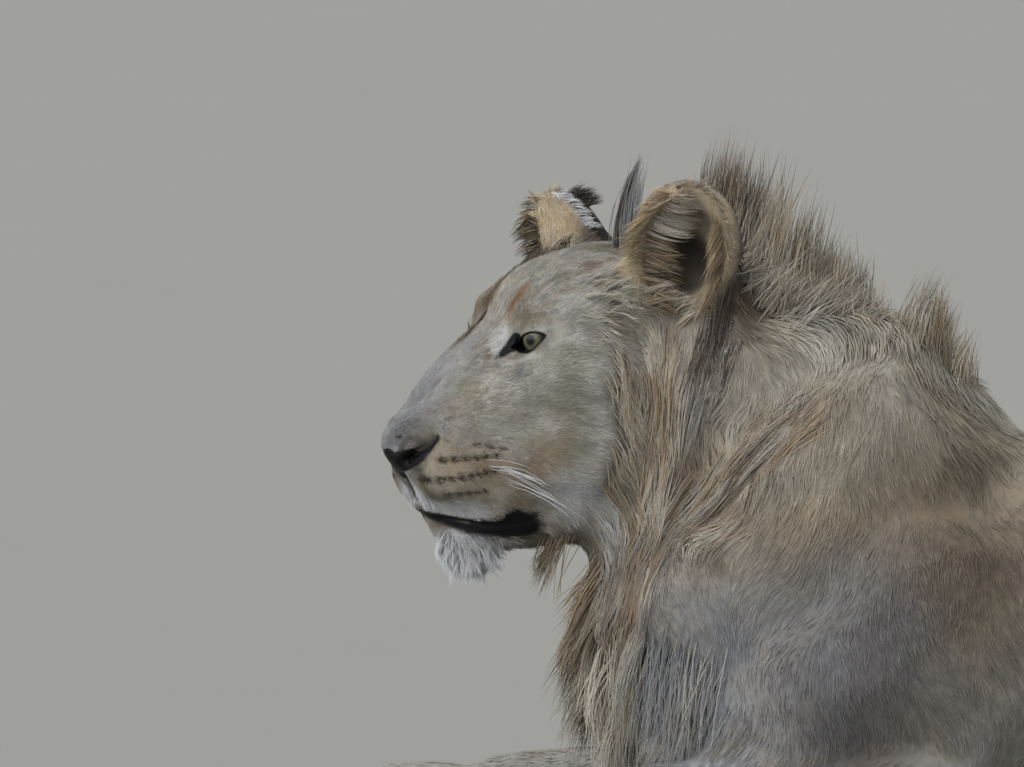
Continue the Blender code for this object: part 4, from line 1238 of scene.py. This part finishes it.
bodyBrushes = [  # in the body's frame
    # crest behind the ears, its front edge darkest
    ([(200, -36, 500), (160, -32, 500)], [(182, -36, 620), (150, -30, 600)], 44, 22, 0.95,
     ("brown", "ochre", "dark", "sand"), (6, 0, 0), 8.0, 20.0),
    ([(170, -30, 490), (110, -24, 480), (50, -8, 465)],
     [(150, -28, 592), (95, -18, 545), (50, -4, 490)], 96, 20, 0.95,
     ("sand", "cream", "grey", "ochre", "sand"), (6, 0, 0), 9.0, 26.0),
    # tuft on the withers
    ([(26, 0, 438), (-32, 0, 414)], [(8, 0, 510), (-36, 0, 450)], 32, 18, 0.95,
     ("sand", "ochre", "brown", "cream"), (4, 0, 6), 7.0, 14.0),
    # skirt of the crest
    ([(178, 4, 492), (120, 18, 476), (60, 18, 462)], [(156, 10, 535), (85, 20, 510), (30, 14, 488)],
     66, 15, 0.95, ("sand", "grey", "sand", "cream"), (4, 4, 0), 8.0, 18.0),
    # ragged tips hanging at the throat
    ([(285, 50, 250), (280, 50, 200), (262, 50, 150)],
     [(296, 52, 180), (312, 50, 134), (285, 50, 85)], 36, 20, 1.3,
     ("sand", "cream", "ochre", "cream"), (8, 0, 4), 8.0, 14.0),
    ([(270, -20, 240), (260, -20, 160)],
     [(288, -20, 165), (280, -20, 90)], 24, 20, 1.4, ("sand", "cream", "sand"), (10, 0, 4), 8.0, 18.0),
    ([(250, 100, 210), (225, 100, 130)],
     [(262, 108, 135), (240, 108, 62)], 24, 20, 1.4, ("sand", "cream", "pale"), (8, 4, 4), 8.0, 16.0),
    ([(225, 115, 205), (208, 138, 200)],
     [(240, 118, 115), (222, 138, 110)], 22, 18, 1.1, ("sand", "cream", "sand", "grey"),
     (4, 4, 4), 10.0, 18.0),
    ([(205, 140, 200), (145, 176, 192)],
     [(214, 146, 110), (152, 182, 104)], 46, 18, 1.1, ("ash", "grey", "ash", "grey"),
     (4, 4, 4), 10.0, 18.0),
    # tail's tuft
    ([tuftMiddle - tuftReach * (0.8, 0, 0), tuftMiddle], [tuftMiddle, tuftMiddle + tuftReach * (0.95, 0, 0)],
     22, 18, 1.5, ("dark", "black", "dark", "brown"), (0, 0, 6), 5.0, 12.0),
]

laidBrushes = [  # locks that hug the coat, each with its frame
    # dark locks laid along the ear's back edge: partly painted shadow behind the ear
    ("head", [(-150, 105, 45), (-120, 120, -20)], [(-120, 124, -30), (-90, 125, -110)], 26, 12, 0.95,
     ("dark", "brown", "dark", "grey"), (0, 6, 0), 5.0, 12.0),
    ("head", [(-80, 108, 0), (-82, 112, -110)], [(-74, 116, -85), (-60, 112, -200)], 26, 13, 0.95,
     ("brown", "sand", "ochre", "grey"), (0, 6, 0), 5.0, 20.0),
    ("head", [(-48, 106, 0), (-54, 108, -130)], [(-64, 116, -45), (-60, 114, -185)], 34, 10, 0.95,
     ("grey", "sand", "cream", "ochre"), (0, 10, 0), 5.0, 14.0),
    ("body", [(50, 105, 410), (130, 110, 380)], [(125, 125, 345), (185, 118, 290)], 34, 13, 0.95,
     ("brown", "sand", "grey", "dark", "ochre"), (10, 0, -10), 5.0, 20.0),
    ("body", [(120, 115, 365), (175, 105, 340)], [(185, 125, 270), (235, 105, 240)], 34, 13, 0.95,
     ("brown", "grey", "dark", "ochre"), (6, 0, -10), 5.0, 18.0),
]

whiskers = ([(60, 56, -100), (44, 64, -108), (36, 62, -118)], [(18, 90, -114), (-4, 104, -134), (-14, 100, -154)],
            14, 1, 0.55, ("white",), (4, 12, 10), 1.5, 6.0)

brushed = {"ear": [], "head": [], "mane": [], "maneRuff": [], "whisker": []}
mirrorShift = toHead(boxMiddle("right_ear")) - toHead(boxMiddle("left_ear")) * (1, -1, 1)
paler = {"brown": "sand", "ochre": "gold"}  # tones of the right ear
for roots, tips, locks, strands, tones, bulge, wide in earBrushes:
    for side, shift in ((1, 0), (-1, mirrorShift)):
        shades = tones if side > 0 else [paler.get(tone, tone) for tone in tones]
        brushed["ear"].append(brush("head", roots, tips, locks, strands, 0.7, shades, bulge, 2.0, wide, 0.35,
                                    side, shift))
for roots, tips, locks, strands, tones, bulge, wide in farEarBrushes:
    brushed["ear"].append(brush("head", roots, tips, locks, strands, 0.7, tones, bulge, 2.0, wide, 0.35))
for line in headBrushes:
    brushed["head"].append(brush("head", *line, turned=0.6 if line[5][0] == "white" else 3.0))
for line in bodyBrushes:
    brushed["mane"].append(brush("body", *line, 0.35))
for line in laidBrushes:
    brushed["maneRuff"].append(brush(*line, 0.6, turned=0.5, hug=7.0))
for side in (1, -1):
    brushed["whisker"].append(brush("head", *whiskers, side=side))
print("brushed locks laid")

headSolids = ("head", "nose", "lower_jaw", "left_ear", "right_ear")
hindWords = ("rump", "thigh", "shank", "hind", "tail")
places = ("Trunk", "Head", "Hind")
placeOf = np.array([1 if name in headSolids else 2 * any(word in name for word in hindWords) for name in flesh])
pieces = []
for kind, tufts in grown.items():
    where = placeOf[data["solids"][tufts["corner"]]]
    leftSide = np.where(where == 1, toHead(tufts["root"])[:, 1], toBody(tufts["root"])[:, 1]) > 0
    most = coatLook["mostFaces"] // len(bladeFaces(tufts["spine"].shape[1] - 1))
    for place, placeName in enumerate(places):
        for sideName, onSide in (("Left", leftSide), ("Right", ~leftSide)):
            keep = np.nonzero((where == place) & onSide)[0]
            for part in range(0, len(keep), most):
                name = f"{kind}Hair{placeName}{sideName}" + (str(part // most + 1) if len(keep) > most else "")
                chosen = keep[part:part + most]
                pieces.append(meshTufts(name, [{key: value[chosen] for key, value in tufts.items()}]))
for name, batches in brushed.items():
    pieces.append(meshTufts(name + "Locks", batches))
for piece in pieces:
    print(piece.name, len(piece.data.polygons))
print("coat:", sum(len(piece.data.polygons) for piece in pieces), "triangles in", len(pieces), "pieces")


# materials

def newMaterial(name):
    material = bpy.data.materials.new(name)
    material.use_nodes = True
    return material, material.node_tree, material.node_tree.nodes["Principled BSDF"]


def feed(tree, node, inputs):
    # gives a node its inputs: a value, or another node's socket
    for socket, value in inputs.items():
        if isinstance(value, bpy.types.NodeSocket):
            tree.links.new(value, node.inputs[socket])
        else:
            node.inputs[socket].default_value = value


def addNode(tree, kind, inputs, result=0, **settings):
    # adds a node, sets it up and feeds it; gives back one of its outputs
    node = tree.nodes.new(kind)
    for name, value in settings.items():
        setattr(node, name, value)
    feed(tree, node, inputs)
    return node.outputs[result]


def noise(tree, scale, detail):
    place = addNode(tree, "ShaderNodeTexCoord", {}, "Object")
    return addNode(tree, "ShaderNodeTexNoise", {"Vector": place, "Scale": scale, "Detail": detail}, "Fac")


def attribute(tree, name, result):
    return addNode(tree, "ShaderNodeAttribute", {}, result, attribute_name=name)


def spanOf(tree, value, low, high, start=0.0, end=1.0):
    return addNode(tree, "ShaderNodeMapRange", {"Value": value, "From Min": start, "From Max": end,
                                                "To Min": low, "To Max": high}, "Result")


def shaded(tree, tone, amount):
    return addNode(tree, "ShaderNodeVectorMath", {0: tone, "Scale": amount}, "Vector", operation="SCALE")


def bumpOf(tree, height, strength, distance):
    return addNode(tree, "ShaderNodeBump", {"Strength": strength, "Distance": distance, "Height": height}, "Normal")


def coatMaterial():
    # guard hair: matt keratin, each hair a little lighter or darker along its length
    material, tree, surface = newMaterial("guardHair")
    fleck = spanOf(tree, noise(tree, 450.0, 2.0), 0.86, 1.12, 0.3, 0.7)
    feed(tree, surface, {"Base Color": shaded(tree, attribute(tree, "tint", "Color"), fleck),
                         "Roughness": 0.62, "Specular IOR Level": 0.3})
    return material


def skinMaterial():
    # hide under fur: short underfur as fine bump, bare leather smoother
    material, tree, surface = newMaterial("furredHide")
    bare = attribute(tree, "bare", "Fac")
    place = addNode(tree, "ShaderNodeTexCoord", {}, "Object")
    leather = addNode(tree, "ShaderNodeTexVoronoi", {"Vector": place, "Scale": 700.0}, "Distance")
    height = addNode(tree, "ShaderNodeMix", {"Factor": bare, "A": noise(tree, 900.0, 3.0), "B": leather}, "Result")
    feed(tree, surface, {"Base Color": attribute(tree, "tint", "Color"), "Roughness": spanOf(tree, bare, 0.85, 0.5),
                         "Normal": bumpOf(tree, height, 0.35, 0.0008), "Specular IOR Level": 0.16})
    return material


def paintSkin():
    tints = markings(data["points"])
    bare = bareSkin(data["points"])
    hollow = earHollow(data["points"])
    # the furred skin is painted a little darker: painted shade under the coat
    tints = tints * (0.88 + 0.12 * bare)[:, None]
    # lips, nose and lid rims black; deep in each ear's bowl painted near black as painted shade
    paintTint(skin.data, towards(tints, "black", np.maximum(bare, hollow * 0.8)))
    paintValue(skin.data, "bare", bare)


paintSkin()
skin.data.materials.append(skinMaterial())
guardHair = coatMaterial()
for piece in pieces:
    piece.data.materials.append(guardHair)


# eyes

# from the middle of the pupil to the edge of the iris
irisStops = [(0.0, "#040404"), (0.3, "#050505"), (0.36, "#2c2a1e"), (0.55, "#5f5c40"), (0.8, "#524c30"),
             (0.92, "#221f14"), (1.0, "#100f0d")]


def eyeMaterial():
    # cornea over an amber iris: wet and clear, so it mirrors the light sharply
    material, tree, surface = newMaterial("wetEye")
    rings = tree.nodes.new("ShaderNodeValToRGB")
    feed(tree, rings, {"Fac": attribute(tree, "iris", "Fac")})
    elements = rings.color_ramp.elements
    elements[0].position, elements[1].position = irisStops[0][0], irisStops[-1][0]
    for place, _ in irisStops[1:-1]:
        elements.new(place)
    for element, (place, value) in zip(elements, irisStops):
        element.color = (*toLinear(value), 1.0)
    fibres = spanOf(tree, noise(tree, 900.0, 3.0), 0.7, 1.3)
    feed(tree, surface, {"Base Color": shaded(tree, rings.outputs["Color"], fibres), "Roughness": 0.25,
                         "Specular IOR Level": 0.2, "Coat Weight": 0.4, "Coat Roughness": 0.03})
    return material


def makeEye(name, centre, side, node):
    gaze, outward = eyeAxes(side)
    bpy.ops.object.select_all(action="DESELECT")
    bpy.ops.mesh.primitive_uv_sphere_add(segments=64, ring_count=48, radius=eyeLook["ball"] - 0.2 * mm)
    piece = bpy.context.active_object
    piece.name = name
    points = readPoints(piece.data)  # the pole is turned to look along the gaze
    axes = np.stack([outward, up, gaze])
    flat = np.hypot(points[:, 0], points[:, 1])
    iris = eyeLook["iris"]
    bulge = eyeLook["cornea"] * np.cos(np.clip(flat / (iris * 1.25), 0, 1) * np.pi / 2)
    points[:, 2] += np.where(points[:, 2] > 0, bulge, 0)
    rings = np.where(points[:, 2] > 0, flat / iris, 1.2)
    if side < 0:
        piece.data.flip_normals()
    writePoints(piece.data, points @ axes + centre)
    paintValue(piece.data, "iris", np.clip(rings, 0, 1))
    bpy.ops.object.shade_smooth()
    piece.data.materials.append(eyeMaterial())
    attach(piece, "root")
    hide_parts(node)
    return piece


makeEye("leftEyeball", eyeLeft, 1, "left_eye")
makeEye("rightEyeball", eyeRight, -1, "right_eye")
print("eyes made")


# stage, light and camera

stageLook = {"floor": "#939189", "floorSize": 300.0, "room": "#e6e9ee", "roomLight": 0.75}

bpy.ops.object.select_all(action="DESELECT")
bpy.ops.mesh.primitive_plane_add(size=stageLook["floorSize"], location=(0, 0, 0))
floor = bpy.context.active_object
floor.name = "studioFloor"


def floorMaterial():
    # painted studio floor: faint mottle and a fine tooth, dull enough to show no reflection
    material, tree, surface = newMaterial("matteStudioFloor")
    mottle = spanOf(tree, noise(tree, 3.0, 5.0), 0.95, 1.05)
    feed(tree, surface, {"Base Color": shaded(tree, toLinear(stageLook["floor"]), mottle),
                         "Normal": bumpOf(tree, noise(tree, 400.0, 2.0), 0.2, 0.0005), "Roughness": 0.9})
    return material


floor.data.materials.append(floorMaterial())

lights = [  # name, height and turn of the light in degrees, how soft, strength, colour
    ("skyLight", 66, -30, 90, 1.45, "#f6f8ff"),
    ("fillLight", 6, -40, 80, 1.6, "#f4f6ff"),
]
for name, height, turn, soft, power, tone in lights:
    lamp = bpy.data.lights.new(name, "SUN")
    lamp.energy, lamp.angle = power, math.radians(soft)
    lamp.color = toLinear(tone)
    holder = bpy.data.objects.new(name, lamp)
    scene.collection.objects.link(holder)
    holder.location = (0, 0, 3)
    holder.rotation_euler = (math.radians(90 - height), 0, math.radians(turn))

world = bpy.data.worlds.new("softRoom")
world.use_nodes = True
feed(world.node_tree, world.node_tree.nodes["Background"],
     {"Color": (*toLinear(stageLook["room"]), 1.0), "Strength": stageLook["roomLight"]})
scene.world = world
scene.view_settings.view_transform = "Standard"

cameraLook = {
    "aim": (-0.5761, -0.0447, 0.419), "azimuth": 15.0, "elevation": 5.0,
    "distance": 16.0, "lens": 675.0,
}
azimuth, elevation = math.radians(cameraLook["azimuth"]), math.radians(cameraLook["elevation"])
back = Vector((math.sin(azimuth) * math.cos(elevation), -math.cos(azimuth) * math.cos(elevation), math.sin(elevation)))
camera = bpy.data.objects.new("camera", bpy.data.cameras.new("camera"))
scene.collection.objects.link(camera)
camera.location = Vector(cameraLook["aim"]) + back * cameraLook["distance"]
camera.rotation_euler = (-back).to_track_quat("-Z", "Y").to_euler()
camera.data.sensor_width, camera.data.lens = 36.0, cameraLook["lens"]
camera.data.clip_end = 400.0
scene.camera = camera
print("stage set")

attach(skin, "root")
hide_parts(*flesh)
for piece in pieces:
    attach(piece, "root")
